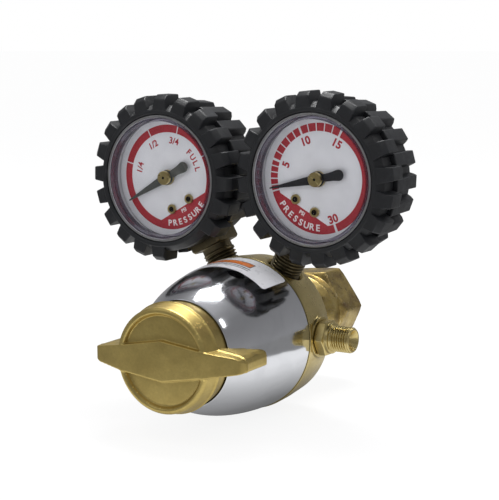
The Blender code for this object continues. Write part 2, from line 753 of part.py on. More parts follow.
def build_sector(prefix, gauge):
    pivot = (0, -PIVOT_DISTANCE, 0)
    teeth = gear_outline(SECTOR_TEETH_IN_CIRCLE, SECTOR_FIRST_TOOTH, SECTOR_LAST_TOOTH, 90)
    tail_angle = math.degrees(math.atan2(TAIL_PIN[1], TAIL_PIN[0]))
    outline = teeth + arc(2.2, 125, 290, 6) + arc(1.1, tail_angle - 80, tail_angle + 80, 5, TAIL_PIN)
    outline += arc(2.2, 10, 45, 3)
    sector = plate(prefix + "sector_gear", [outline], -2.0, -1.0, gauge, "brass", location=pivot)
    join(sector, rod(prefix + "sector_arbor", 0.6, -6.9, 4.4, sector, facets=8))
    join(sector, rod(prefix + "tail_pin", 0.45, -1.3, 0.3, sector, facets=8, at=TAIL_PIN))
    length = math.hypot(*LINK_REACH)
    bar = arc(1.2, 30, 330, 9) + arc(1.2, -150, 150, 9, (length, 0))
    holes = [circle(0.75, 8), circle(0.75, 8, (length, 0))]
    tilt = math.degrees(math.atan2(LINK_REACH[1], LINK_REACH[0]))
    pin = (TAIL_PIN[0], TAIL_PIN[1] - PIVOT_DISTANCE, 0)
    plate(prefix + "link", [bar] + holes, -0.6, 0.0, gauge, "brass", location=pin,
          rotation=(0, 0, tilt))


def build_pointer_shaft(prefix, gauge):
    pinion = gear_outline(PINION_TEETH, 0, PINION_TEETH - 1, 180 / PINION_TEETH - 90)
    shaft = plate(prefix + "pointer_shaft", [pinion], -2.6, -0.4, gauge, "brass")
    join(shaft, rod(prefix + "arbor", 0.6, -6.9, 13.7, gauge, facets=8))
    spiral = []
    for step in range(31):
        x, y = polar(1.6 + 3.0 * step / 30, 36 * step)
        spiral.append((x, y, 1.2))
    wire(prefix + "hairspring", spiral, 0.14, gauge, "bronze")


def build_movement(prefix, gauge):
    """Two plates on pillars, with two posts that carry the dial, and a foot on the socket."""
    plate_radius, plate_centre = 11.0, (0, -5.0)
    holes = [circle(0.95, 6), circle(0.95, 6, (0, -PIVOT_DISTANCE))]
    edge = circle(plate_radius, 16, plate_centre)
    frame = plate(prefix + "movement_frame", [edge] + holes, -6.3, -5.3, gauge, "brass")
    join(frame, plate(prefix + "front_plate", [edge] + holes, 3.0, 4.0, gauge))
    join(frame, block(prefix + "foot", (7.0, 8.0, 1.0), (0, -18.0, -5.8), gauge))
    for index, angle in enumerate((45, 135, 250)):
        spot = polar(9.5, angle, plate_centre)
        join(frame, rod(f"{prefix}pillar_{index}", 1.0, -5.8, 3.5, gauge, facets=6, at=spot))
    for index, spot in enumerate(DIAL_SCREW_PLACES, 1):
        name = f"{prefix}dial_post_{index}"
        join(frame, rod(name, 1.7, 3.5, DIAL_PLANE - 0.8, gauge, facets=8, at=spot))
        cut(frame, rod(name + "_hole", 0.95, 5.5, DIAL_PLANE + 1.0, gauge, facets=6, at=spot))


def build_tube(prefix, gauge):
    """Bourdon tube: a flattened tube round the movement, with a lug over the link."""
    middle, flatten = -1.0, 2.4
    steps = 16
    line = [(*polar(TUBE_RADIUS, TUBE_START + (TUBE_END - TUBE_START) * step / steps),
             middle / flatten) for step in range(steps + 1)]
    tube = wire(prefix + "bourdon_tube", line, 1.2, gauge, "bronze", resolution=1, flatten=flatten)
    tip = (TAIL_PIN[0] + LINK_REACH[0], TAIL_PIN[1] - PIVOT_DISTANCE + LINK_REACH[1])
    lug = [(tip[0] - 1.2, tip[1] - 1.2), (19.6, tip[1] + 0.2), (18.6, tip[1] + 2.2),
           (tip[0] - 1.2, tip[1] + 1.2)]
    join(tube, plate(prefix + "tip_lug", [lug], 0.3, 1.0, gauge))
    join(tube, rod(prefix + "tip_pin", 0.45, -0.5, 0.6, gauge, facets=8, at=tip))


def build_face(prefix, gauge, zero):
    """Dial, its two screws, the pointer and the bush that holds it."""
    holes = [circle(2.2, 12)] + [circle(0.95, 8, spot) for spot in DIAL_SCREW_PLACES]
    plate(prefix + "dial", [circle(DIAL_RADIUS, MEDIUM)] + holes, DIAL_PLANE - 0.5, DIAL_PLANE,
          gauge, "dial")
    for index, spot in enumerate(DIAL_SCREW_PLACES, 1):
        turned(
            f"{prefix}dial_screw_{index}",
            [(0, 11.7), (0.8, 11.7), (0.8, 12.2), (1.6, 12.2), (1.75, 12.0), (1.75, 11.3),
             (0.65, 11.3), (0.65, 6.0), (0, 6.0)],
            gauge, "brass", steps=8, location=(*spot, 0),
        )
    outline = [(-0.3, -POINTER_LENGTH), (0.3, -POINTER_LENGTH), (1.7, -2.2), (3.0, -1.0),
               (3.0, 1.0), (1.4, 2.8), (1.9, POINTER_TAIL - 1.9)]
    outline += arc(1.9, 30, 150, 5, (0, POINTER_TAIL - 1.9))
    outline += [(-x, y) for x, y in outline[6:1:-1]]
    plate(prefix + "pointer", [outline, circle(2.2, 12)], 12.7, 13.2, gauge, "pointer",
          rotation=(0, 0, -zero))
    turned(
        prefix + "pointer_bush",
        [(0, 15.4), (2.5, 15.4), (2.7, 15.2), (2.7, 13.5), (1.9, 13.5), (1.9, 12.4), (3.2, 12.4),
         (3.2, 11.6), (0.95, 11.6), (0.95, 14.0), (0, 14.0)],
        gauge, "brass", steps=TINY,
    )


def build_gauge(prefix, gauge, stem, distance, zero, lug_turn):
    build_socket(prefix, stem, distance)
    build_case(prefix, gauge)
    build_boot(prefix, gauge, lug_turn)
    build_tube(prefix, gauge)
    build_movement(prefix, gauge)
    build_sector(prefix, gauge)
    build_pointer_shaft(prefix, gauge)
    build_face(prefix, gauge, zero)


# ---------------------------------------------------------------- assembly


def centre_on_origin(root):
    """Moves the assembly so that the centre of its bounding box is the origin."""
    bpy.context.view_layer.update()
    graph = bpy.context.evaluated_depsgraph_get()
    corners = []
    for obj in PARTS.objects:
        if obj.type == "MESH":
            solid = obj.evaluated_get(graph)
            corners += [solid.matrix_world @ vertex.co for vertex in solid.data.vertices]
    low = Vector([min(corner[i] for corner in corners) for i in range(3)])
    high = Vector([max(corner[i] for corner in corners) for i in range(3)])
    root.location = -(low + high) / 2
    print("main axis at (mm)", [round(value / MM, 4) for value in root.location])


def build():
    root = empty("regulator_frame")
    axis = empty("axis_frame", root, rotation=(90, 0, 0))
    lean = {"contents": -STEM_ANGLE, "delivery": STEM_ANGLE}
    stems = {name: empty(name + "_stem_frame", root, rotation=(0, lean[name], 0))
             for name in lean}
    build_body(axis, stems)
    build_bonnet(axis)
    build_label(axis)
    build_valve(axis)
    build_diaphragm(axis)
    build_adjuster(axis)
    build_knob(axis)
    build_inlet(axis)
    build_outlet(axis)
    for name, distance, zero, lug_turn in (
        ("contents", CONTENTS_DISTANCE, CONTENTS_ZERO, CONTENTS_LUG_TURN),
        ("delivery", DELIVERY_DISTANCE, DELIVERY_ZERO, DELIVERY_LUG_TURN),
    ):
        gauge = empty(name + "_gauge_frame", stems[name], (0, 0, distance), (90, 0, 0))
        build_gauge(name + "_", gauge, stems[name], distance, zero, lug_turn)
    centre_on_origin(root)


clear_scene()
PARTS = collection("gas_regulator")
CUTTERS = collection("cutters", hidden=True)
build()
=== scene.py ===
"""Looks of the two-gauge gas regulator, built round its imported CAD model.

Helpers take millimetres and degrees. Turned pieces are modelled in the axis frame, whose
local Z runs along the main axis to the front, or in a stem frame, whose local Z runs away
from the main axis. Gauge pieces are modelled in a gauge frame: local X right, local Y away
from the main axis, local Z front. Angles on a dial run clockwise from straight down.
"""

import json
import math

import bmesh
import bpy
import numpy as np
from mathutils import Matrix, Vector


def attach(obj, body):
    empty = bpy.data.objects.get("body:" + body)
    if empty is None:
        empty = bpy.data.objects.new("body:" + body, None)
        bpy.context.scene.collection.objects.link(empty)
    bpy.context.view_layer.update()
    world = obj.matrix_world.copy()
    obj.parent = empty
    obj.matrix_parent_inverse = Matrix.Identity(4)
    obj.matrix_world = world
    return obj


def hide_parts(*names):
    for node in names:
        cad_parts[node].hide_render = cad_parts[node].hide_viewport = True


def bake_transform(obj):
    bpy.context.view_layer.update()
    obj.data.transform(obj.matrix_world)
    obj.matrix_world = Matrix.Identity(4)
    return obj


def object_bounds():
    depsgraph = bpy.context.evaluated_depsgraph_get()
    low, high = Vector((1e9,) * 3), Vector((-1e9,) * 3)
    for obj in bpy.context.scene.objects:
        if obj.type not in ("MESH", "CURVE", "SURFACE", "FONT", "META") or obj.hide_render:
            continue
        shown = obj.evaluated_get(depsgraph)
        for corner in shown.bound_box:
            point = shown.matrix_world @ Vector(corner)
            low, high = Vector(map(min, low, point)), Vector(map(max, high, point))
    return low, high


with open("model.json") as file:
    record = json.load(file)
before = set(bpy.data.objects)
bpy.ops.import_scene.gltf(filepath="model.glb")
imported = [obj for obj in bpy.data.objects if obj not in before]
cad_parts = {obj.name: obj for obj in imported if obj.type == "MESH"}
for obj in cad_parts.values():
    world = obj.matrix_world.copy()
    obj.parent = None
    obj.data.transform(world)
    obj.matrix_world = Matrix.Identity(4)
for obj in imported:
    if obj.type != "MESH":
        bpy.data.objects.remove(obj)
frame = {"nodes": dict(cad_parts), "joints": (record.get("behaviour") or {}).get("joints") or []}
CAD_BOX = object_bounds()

MM = 0.001
STEM_LEAN = 29.0
GAUGES = ("contents", "delivery")

# Body and bonnet
PARTING = 9.3
SPIGOT_RADIUS = 28.2
BONNET_RADIUS = 31.48
BONNET_CENTRE = 5.63
BONNET_LENGTH = 60.9
BONNET_EXPONENT = 2.35
BONNET_MOUTH = 54.4
MOUTH_RADIUS = 21.15
VENT_TURN = 18.0
VENT_PLACE = 29.5
LABEL_REAR, LABEL_FRONT = 10.1, 26.9
LABEL_HALF_ANGLE = 41.5
SCREW_RADIUS, SCREW_PITCH = 6.35, 1.27

# Gauges
STEM_SQUARE, PLUG_SQUARE = 15.0, 10.0
CASE_RADIUS, CASE_BORE = 26.3, 25.3
LENS_RADIUS = 25.0
DIAL_PLANE = 11.0
SHAFT_HOLE = 2.2
BAND_INNER, BAND_OUTER = 18.8, 22.0
RED_LAYER = (DIAL_PLANE + 0.01, DIAL_PLANE + 0.06)
WHITE_LAYER = (DIAL_PLANE + 0.07, DIAL_PLANE + 0.12)
LUG_COUNT = 20
LUG_TURN = {"contents": 12.5, "delivery": 0.7}
LUG_FREE_ANGLE = {"contents": 16.0, "delivery": 0.0}
POINTER_REST = {"contents": 90.0, "delivery": 49.0}
DIAL_SCREWS = ((-4.9, -12.5), (4.9, -12.5))

# Outlines: points on a fillet, half the angle at a corner that is left alone, degrees a step
FILLET_POINTS = 5
NEARLY_STRAIGHT = math.radians(88)
DIAL_STEP = 1.5

# Turned meshes: columns at a flat's corners, rows on flats and threads, and how sharp flats meet
CORNER_COLUMNS = (-2.2, -1.1, -0.4, 0.0, 0.4, 1.1, 2.2)
FLAT_SPACING = 0.35
ROWS_A_PITCH = 9
THREAD_REACH = 0.2
SHARPNESS = 60.0

# Studio: each softbox has its azimuth, elevation, size, radiance and distance
SOFTBOXES = {
    "overhead": (-162.0, 72.0, (0.42, 0.30), 15.0, 0.9),
    "strip": (80.0, 47.0, (0.03, 0.20), 9.0, 0.9),
    "side": (147.0, 47.0, (0.14, 0.16), 6.0, 0.9),
    "front": (-35.0, 38.0, (0.50, 0.40), 0.7, 1.1),
}
WHITE = (1.0, 1.0, 1.0, 1.0)
FLOOR_GAP = 0.0004

# Camera
CAMERA_AZIMUTH, CAMERA_ELEVATION, CAMERA_ROLL = 31.30, 8.70, -0.36
CAMERA_DISTANCE = 586.73
CAMERA_SHIFT = (-2.26, 33.09)  # across and up, from the main axis at the stems' plane
CAMERA_LENS = 100.67


# ---- frames


def rotated(degrees, axis):
    return Matrix.Rotation(math.radians(degrees), 4, axis)


FRONTWARD = rotated(90, "X")
JOINT_PLACE = {joint["name"]: Vector(joint["pos_m"]) for joint in frame["joints"] if "pos_m" in joint}
GAUGE_PLACE = {gauge: JOINT_PLACE[gauge + "_pointer_turn"] for gauge in GAUGES}
AXIS_PLACE = JOINT_PLACE["nut_turn"]
AXIS_PLACE.y = GAUGE_PLACE["contents"].y
AXIS_FRAME = Matrix.Translation(AXIS_PLACE) @ FRONTWARD
OUTLET_FRAME = AXIS_FRAME @ rotated(90, "Y")
LEAN = {
    gauge: rotated(lean, "Y")
    for gauge, lean in (("contents", -STEM_LEAN), ("delivery", STEM_LEAN))
}
STEM_FRAME = {gauge: Matrix.Translation(AXIS_PLACE) @ LEAN[gauge] for gauge in GAUGES}
GAUGE_FRAME = {
    gauge: Matrix.Translation(GAUGE_PLACE[gauge]) @ LEAN[gauge] @ FRONTWARD
    for gauge in GAUGES
}
STEM_LENGTH = {gauge: (GAUGE_PLACE[gauge] - AXIS_PLACE).length / MM for gauge in GAUGES}


# ---- outlines


def polar(radius, degrees, centre=(0.0, 0.0)):
    angle = math.radians(degrees)
    return (centre[0] + radius * math.cos(angle), centre[1] + radius * math.sin(angle))


def arc(radius, start, end, count, centre=(0.0, 0.0)):
    turns = np.linspace(start, end, count)
    return [polar(radius, turn, centre) for turn in turns]


def dial_point(radius, clock):
    """A point on a dial, its angle clockwise from straight down."""
    return polar(radius, -90.0 - clock)


def dial_arc(radius, start, end):
    count = max(3, int(abs(end - start) / DIAL_STEP))
    return [dial_point(radius, clock) for clock in np.linspace(start, end, count)]


def rounded(outline, fillet, closed):
    """The outline with its corners rounded. A corner may carry its own fillet as a third value."""
    result = []
    for index, corner in enumerate(outline):
        here = Vector(corner[:2])
        radius = corner[2] if len(corner) > 2 else fillet
        before = Vector(outline[index - 1][:2]) - here
        after = Vector(outline[(index + 1) % len(outline)][:2]) - here
        half_angle = before.angle(after, 0.0) / 2
        at_end = not closed and index in (0, len(outline) - 1)
        if at_end or radius <= 0 or half_angle > NEARLY_STRAIGHT:
            result.append(tuple(here))
            continue
        reach = min(radius / math.tan(half_angle), 0.45 * before.length, 0.45 * after.length)
        start = here + before.normalized() * reach
        end = here + after.normalized() * reach
        for t in np.linspace(0, 1, FILLET_POINTS):
            result.append(tuple(start * (1 - t) ** 2 + here * 2 * t * (1 - t) + end * t**2))
    return result


def subdivided(outline, closed, zones):
    """Extra points on the parts of a profile that lie within a (low, high, spacing) zone."""
    result = []
    ends = outline[1:] + (outline[:1] if closed else [])
    for first, second in zip(outline, ends):
        middle = (first[1] + second[1]) / 2
        spacings = [spacing for low, high, spacing in zones if low <= middle <= high]
        parts = max(1, round(math.dist(first, second) / min(spacings))) if spacings else 1
        result += list(np.linspace(first, second, parts, endpoint=False))
    return result if closed else result + outline[-1:]


# ---- meshes


def linked(name, data):
    """A new object with this data, in the scene."""
    obj = bpy.data.objects.new(name, data)
    bpy.context.scene.collection.objects.link(obj)
    return obj


def mesh_of(name, bm):
    mesh = bpy.data.meshes.new(name)
    bm.to_mesh(mesh)
    bm.free()
    return mesh


def moved(mesh, matrix):
    mesh.transform(matrix)
    return mesh


def evaluated_copy(obj):
    """The object's mesh with its modifiers applied."""
    bpy.context.view_layer.update()
    graph = bpy.context.evaluated_depsgraph_get()
    return bpy.data.meshes.new_from_object(obj.evaluated_get(graph))


def cleaned(mesh, weld, slivers=0.0):
    """The mesh with close points welded, slivers dissolved and its normals facing out."""
    bm = bmesh.new()
    bm.from_mesh(mesh)
    bmesh.ops.remove_doubles(bm, verts=bm.verts, dist=weld * MM)
    if slivers:
        bmesh.ops.dissolve_degenerate(bm, edges=bm.edges, dist=slivers * MM)
    bmesh.ops.recalc_face_normals(bm, faces=bm.faces)
    bm.to_mesh(mesh)
    bm.free()
    return mesh


def mesh_from(name, points, faces):
    """A mesh from points in millimetres, with its normals facing out."""
    mesh = bpy.data.meshes.new(name)
    mesh.from_pydata([tuple(np.asarray(point) * MM) for point in points], [], faces)
    return cleaned(mesh, 0.001, 0.0005)


def ring_faces(rings, count, closed):
    """Quads between neighbouring rings of points, and from the last to the first if closed."""
    faces = []
    for ring in range(rings if closed else rings - 1):
        above = (ring + 1) % rings
        for index in range(count):
            beside = (index + 1) % count
            faces.append((ring * count + index, ring * count + beside,
                          above * count + beside, above * count + index))
    return faces


def column_angles(steps, flats):
    """Angles of the columns of a turned mesh, closer together at the corners of its flats."""
    angles = {round(360 * step / steps, 4) for step in range(steps)}
    for *_, sides, turn in flats:
        for side in range(sides):
            corner = turn + (side + 0.5) * 360 / sides
            for offset in CORNER_COLUMNS:
                angles.add(round((corner + offset) % 360, 4))
    return np.array(sorted(angles))


def flat_radius(angles, across, sides, turn):
    """Distance from the axis to the side of a regular polygon, at each angle."""
    half = 180 / sides
    from_middle = (angles - turn + half) % (2 * half) - half
    return across / 2 / np.cos(np.radians(from_middle))


def thread_wave(phase):
    """Height of a 60-degree thread with flat crests and roots, from 0 to 1."""
    saw = np.abs((phase % 1.0) * 2 - 1)
    return np.clip((saw - 0.15) / 0.66, 0, 1)


def revolve(name, profile, fillet=0.25, steps=120, flats=(), threads=()):
    """A mesh turned about local Z from (radius, height) pairs.

    A profile that starts on the axis also ends there; any other is closed. Each flat is
    (low, high, across, sides, turn): between those heights the piece is no wider than the
    polygon. Each thread is (low, high, radius at low, radius at high, pitch, depth): the
    surface near that radius is cut into a helical thread, and a negative depth cuts it
    outwards.
    """
    closed = profile[0][0] > 0
    outline = rounded(profile, fillet, closed)
    zones = [(low, high, FLAT_SPACING) for low, high, *_ in flats]
    zones += [(low, high, pitch / ROWS_A_PITCH) for low, high, _, _, pitch, _ in threads]
    outline = np.array(subdivided(outline, closed, zones))
    angles = column_angles(steps, flats)
    radius = np.repeat(outline[:, :1], len(angles), axis=1)
    height = outline[:, 1:2]
    for low, high, at_low, at_high, pitch, depth in threads:
        surface = at_low + (at_high - at_low) * (height - low) / (high - low)
        on_thread = (np.abs(radius - surface) < THREAD_REACH) & (height > low) & (height < high)
        fade = np.clip(np.minimum(height - low, high - height) / pitch, 0, 1)
        wave = thread_wave(height / pitch - angles[None, :] / 360)
        radius = np.where(on_thread, radius - depth * (1 - wave) * fade, radius)
    for low, high, across, sides, turn in flats:
        limit = np.repeat(flat_radius(angles, across, sides, turn)[None, :], len(outline), axis=0)
        both = (np.maximum(radius, 0.01) ** -SHARPNESS + limit**-SHARPNESS) ** (-1 / SHARPNESS)
        within = (height >= low) & (height <= high) & (radius > 0.3 * across)
        radius = np.where(within, both, radius)
    turn = np.radians(angles)
    points = np.stack([radius * np.cos(turn), radius * np.sin(turn),
                       np.repeat(height, len(angles), axis=1)], axis=2).reshape(-1, 3)
    return mesh_from(name, points, ring_faces(*radius.shape, closed))


def curve_mesh(curve):
    """The mesh of a filled curve or a text, its caps welded to its sides."""
    holder = linked(curve.name, curve)
    mesh = evaluated_copy(holder)
    bpy.data.objects.remove(holder)
    mesh.materials.clear()
    return cleaned(mesh, 0.0005)


def plate(name, outlines, bottom, top):
    """A flat solid from bottom to top: the first outline is its edge, the rest are holes."""
    curve = bpy.data.curves.new(name, "CURVE")
    curve.dimensions = "2D"
    curve.fill_mode = "BOTH"
    curve.extrude = (top - bottom) / 2 * MM
    for outline in outlines:
        spline = curve.splines.new("POLY")
        spline.points.add(len(outline) - 1)
        for point, (x, y) in zip(spline.points, outline):
            point.co = (x * MM, y * MM, 0, 1)
        spline.use_cyclic_u = True
    return moved(curve_mesh(curve), Matrix.Translation((0, 0, (bottom + top) / 2 * MM)))


def merged(name, meshes):
    """One mesh that holds all of these."""
    bm = bmesh.new()
    for mesh in meshes:
        bm.from_mesh(mesh)
        bpy.data.meshes.remove(mesh)
    return mesh_of(name, bm)


def combined(mesh, operation, *others):
    """The mesh after a Boolean with each of the other meshes."""
    target = linked(mesh.name, mesh)
    helpers = [linked(other.name, other) for other in others]
    for helper in helpers:
        modifier = target.modifiers.new("Boolean", "BOOLEAN")
        modifier.operation = operation
        modifier.solver = "EXACT"
        modifier.object = helper
    result = evaluated_copy(target)
    for obj in [target] + helpers:
        bpy.data.objects.remove(obj)
    return result


def slot_cutter(size, centre):
    bm = bmesh.new()
    bmesh.ops.create_cube(bm, size=1.0, matrix=Matrix.Diagonal((*(Vector(size) * MM), 1.0)))
    return moved(mesh_of("slot", bm), Matrix.Translation(Vector(centre) * MM))


def piece(name, mesh, place, look, nodes, smooth_angle=40.0, body="regulator", bevel=0.0):
    """A finished piece of the object, in its frame, on its CAD body, in place of CAD nodes.

    The lean of a gauge goes into its mesh, so that every object keeps square to the world.
    """
    if place != OUTLET_FRAME:
        square = Matrix.Translation(place.translation) @ FRONTWARD
        mesh.transform(square.inverted() @ place)
        place = square
    obj = linked(name, mesh)
    obj.matrix_world = place
    if bevel:
        modifier = obj.modifiers.new("Edges", "BEVEL")
        modifier.width = bevel * MM
        modifier.segments = 2
        modifier.limit_method = "ANGLE"
        modifier.angle_limit = math.radians(35)
        obj.data = evaluated_copy(obj)
        obj.modifiers.clear()
        bpy.data.meshes.remove(mesh)
    mesh = obj.data
    mesh.name = name
    mesh.materials.clear()
    mesh.materials.append(LOOKS[look])
    mesh.polygons.foreach_set("use_smooth", [True] * len(mesh.polygons))
    mesh.set_sharp_from_angle(angle=math.radians(smooth_angle))
    if body:
        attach(obj, body)
    if nodes:
        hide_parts(*nodes)
    return obj


def repaint(obj, look, chosen):
    """Another look on the faces that are chosen by their centre, in millimetres, and normal."""
    obj.data.materials.append(LOOKS[look])
    for polygon in obj.data.polygons:
        if chosen(polygon.center / MM, polygon.normal):
            polygon.material_index = 1


# ---- materials


class Nodes:
    """Adds nodes to a tree. An input is a number, a colour or another node's output."""

    def __init__(self, tree, coordinates):
        self.tree = tree
        self.place = self.node("ShaderNodeTexCoord").outputs[coordinates]

    def feed(self, socket, value):
        if isinstance(value, bpy.types.NodeSocket):
            self.tree.links.new(value, socket)
        else:
            socket.default_value = value

    def node(self, kind, inputs=None, **settings):
        made = self.tree.nodes.new(kind)
        for key, value in settings.items():
            setattr(made, key, value)
        for key, value in (inputs or {}).items():
            self.feed(made.inputs[key], value)
        return made

    def math(self, operation, *values):
        return self.node("ShaderNodeMath", dict(enumerate(values)), operation=operation).outputs[0]

    def times(self, first, second):
        return self.math("MULTIPLY", first, second)

    def span(self, value, low, high, to_low=0.0, to_high=1.0):
        made = self.node("ShaderNodeMapRange", {
            "Value": value, "From Min": low, "From Max": high, "To Min": to_low, "To Max": to_high,
        })
        return made.outputs["Result"]

    def ramp(self, value, stops):
        made = self.node("ShaderNodeValToRGB", {"Fac": value})
        elements = made.color_ramp.elements
        while len(elements) < len(stops):
            elements.new(0.5)
        for element, (position, colour) in zip(elements, stops):
            element.position = position
            element.color = (*colour, 1.0)
        return made.outputs["Color"]

    def mixed_shader(self, share, first, second):
        return self.node("ShaderNodeMixShader", {0: share, 1: first, 2: second}).outputs["Shader"]


class Look(Nodes):
    """A material whose nodes are added round a Principled BSDF."""

    def __init__(self, name, colour, roughness, metallic=0.0):
        self.name = name
        self.material = bpy.data.materials.new(name)
        self.material.use_nodes = True
        self.material.diffuse_color = (*colour, 1.0)
        super().__init__(self.material.node_tree, "Object")
        self.shader = self.tree.nodes["Principled BSDF"]
        self.normal = None
        self.set("Base Color", (*colour, 1.0))
        self.set("Roughness", roughness)
        self.set("Metallic", metallic)

    def set(self, name, value):
        self.feed(self.shader.inputs[name], value)

    def paint(self, colour):
        self.set("Base Color", colour)

    def set_surface(self, shader):
        self.feed(self.tree.nodes["Material Output"].inputs["Surface"], shader)

    def stretched(self, across, along):
        """Object coordinates with grains that are longer along local Z or across it."""
        scale = (1 / across, 1 / across, 1 / along)
        mapping = self.node("ShaderNodeMapping", {"Vector": self.place, "Scale": scale})
        return mapping.outputs["Vector"]

    def noise(self, size, detail=3.0, roughness=0.55, distortion=0.0, place=None):
        """Noise whose grains are about this many millimetres across."""
        made = self.node("ShaderNodeTexNoise", {
            "Vector": place or self.place, "Scale": 1 / (size * MM), "Detail": detail,
            "Roughness": roughness, "Distortion": distortion,
        })
        return made.outputs["Fac"]

    def mix(self, share, first, second, blend="MIX"):
        made = self.node("ShaderNodeMix", data_type="RGBA", blend_type=blend)
        for index, value in ((0, share), (6, first), (7, second)):
            if isinstance(value, tuple) and len(value) == 3:
                value = (*value, 1.0)
            self.feed(made.inputs[index], value)
        return made.outputs[2]

    def drift(self, size, detail, first, second):
        """One colour that drifts into another and back."""
        return self.mix(self.span(self.noise(size, detail), 0.3, 0.7), first, second)

    def wear(self, size, detail, low, high):
        """Roughness that varies from place to place."""
        self.set("Roughness", self.span(self.noise(size, detail), 0.3, 0.7, low, high))

    def hollows(self, distance):
        """1 in the open and 0 in corners closer than this."""
        made = self.node("ShaderNodeAmbientOcclusion", {"Distance": distance * MM}, samples=4)
        return made.outputs["AO"]

    def edges(self, low, high):
        """0 on flat places and 1 on sharp edges, where wear shows and, in some looks, a painted highlight.
        """
        point = self.node("ShaderNodeNewGeometry").outputs["Pointiness"]
        return self.span(point, low, high)

    def bump(self, depth, *grains, **settings):
        """Unevenness this deep, with the grains of a noise."""
        made = self.node("ShaderNodeBump", {
            "Height": self.noise(*grains, **settings), "Distance": depth * MM, "Strength": 1.0,
        })
        if self.normal is not None:
            self.feed(made.inputs["Normal"], self.normal)
        self.normal = made.outputs["Normal"]
        self.set("Normal", self.normal)


def scaled(colour, share):
    return tuple(share * part for part in colour)


def brass_look(name, light, dark, roughness, grain=0.0, lines=0.0, tarnish=0.35):
    """Brass: drifting colour, tarnish specks, painted shade in the hollows, edges lightened by wear and a
    painted highlight, and a cast grain or turning lines.
    """
    look = Look(name, light, roughness, 1.0)
    drift = look.span(look.noise(9.0, 4.0), 0.35, 0.7)
    speckle = look.span(look.noise(1.1, 4.0, 0.7), 0.3, 0.75)
    colour = look.mix(drift, light, tuple((a + b) / 2 for a, b in zip(light, dark)))
    colour = look.mix(look.times(speckle, tarnish), colour, dark)
    # Painted shade: the hollows are darkened towards the dark brass.
    open_places = look.span(look.hollows(3.0), 0.35, 0.95)
    colour = look.mix(open_places, look.mix(0.75, colour, dark), colour)
    # Edges lightened past the brass's own colour: partly edge wear, partly a painted highlight.
    bright = tuple(min(1.0, part) for part in scaled(light, 1.35))
    wear_and_highlight = look.times(look.edges(0.52, 0.60), 0.7)
    look.paint(look.mix(wear_and_highlight, colour, bright))
    wear = look.span(look.noise(4.0, 5.0, 0.65), 0.3, 0.7, -0.07, 0.09)
    look.set("Roughness", look.math("ADD", roughness, wear))
    if grain:
        look.bump(grain, 0.45, 3.0, 0.6)
        look.bump(grain * 1.6, 2.6, 2.0)
    if lines:
        look.bump(lines, 1.0, 4.0, 0.7, place=look.stretched(6.0, 0.12))
    return look


def patina_look():
    """Heat-coloured brass: gold and brown patches."""
    look = Look("patina_brass", (0.42, 0.26, 0.12), 0.35, 1.0)
    patches = look.noise(8.5, 4.0, 0.55, 0.4)
    colour = look.ramp(patches, [
        (0.30, (0.62, 0.48, 0.18)), (0.45, (0.52, 0.39, 0.14)), (0.56, (0.37, 0.27, 0.10)),
        (0.68, (0.24, 0.155, 0.075)), (0.80, (0.50, 0.38, 0.17)),
    ])
    speckle = look.span(look.noise(0.9, 4.0, 0.7), 0.5, 0.75)
    colour = look.mix(look.times(speckle, 0.5), colour, (0.70, 0.58, 0.36))
    colour = look.mix(look.times(look.edges(0.52, 0.60), 0.8), colour, (0.80, 0.66, 0.36))
    look.paint(colour)
    look.wear(3.0, 5.0, 0.24, 0.5)
    look.bump(0.02, 0.5, 4.0)
    look.bump(0.08, 5.0, 2.0)
    return look


def chrome_look():
    look = Look("chrome", (0.76, 0.77, 0.80), 0.035, 1.0)
    smears = look.span(look.noise(14.0, 4.0, 0.6, 0.8), 0.45, 0.8)
    look.paint(look.mix(smears, (0.78, 0.79, 0.82), (0.70, 0.71, 0.74)))
    dust = look.span(look.noise(0.35, 5.0, 0.7), 0.62, 0.8, 0.0, 0.10)
    haze = look.span(smears, 0.0, 1.0, 0.11, 0.17)
    look.set("Roughness", look.math("ADD", haze, dust))
    look.bump(0.035, 9.0, 2.0)
    look.bump(0.0006, 0.5, 3.0)
    return look


def rubber_look():
    """Moulded rubber: fine grain, dusty patches, and paler edges that are partly scuffs and partly a
    painted sheen.
    """
    look = Look("moulded_rubber", (0.008, 0.009, 0.011), 0.5)
    dusty = look.span(look.noise(11.0, 5.0, 0.65), 0.45, 0.75)
    colour = look.mix(dusty, (0.0075, 0.0085, 0.0105), (0.014, 0.015, 0.017))
    scuffs = look.span(look.noise(1.6, 5.0, 0.7, 0.6), 0.58, 0.75)
    # Painted sheen, partly scuffs: edges are lightened, more where the scuff noise is high.
    wear_and_highlight = look.times(look.edges(0.53, 0.66), look.span(scuffs, 0, 1, 0.35, 1))
    look.paint(look.mix(wear_and_highlight, colour, (0.060, 0.062, 0.068)))
    look.wear(3.2, 5.0, 0.34, 0.50)
    look.set("Specular IOR Level", 0.55)
    look.bump(0.018, 0.28, 3.0, 0.6)
    look.bump(0.05, 3.5, 3.0)
    return look


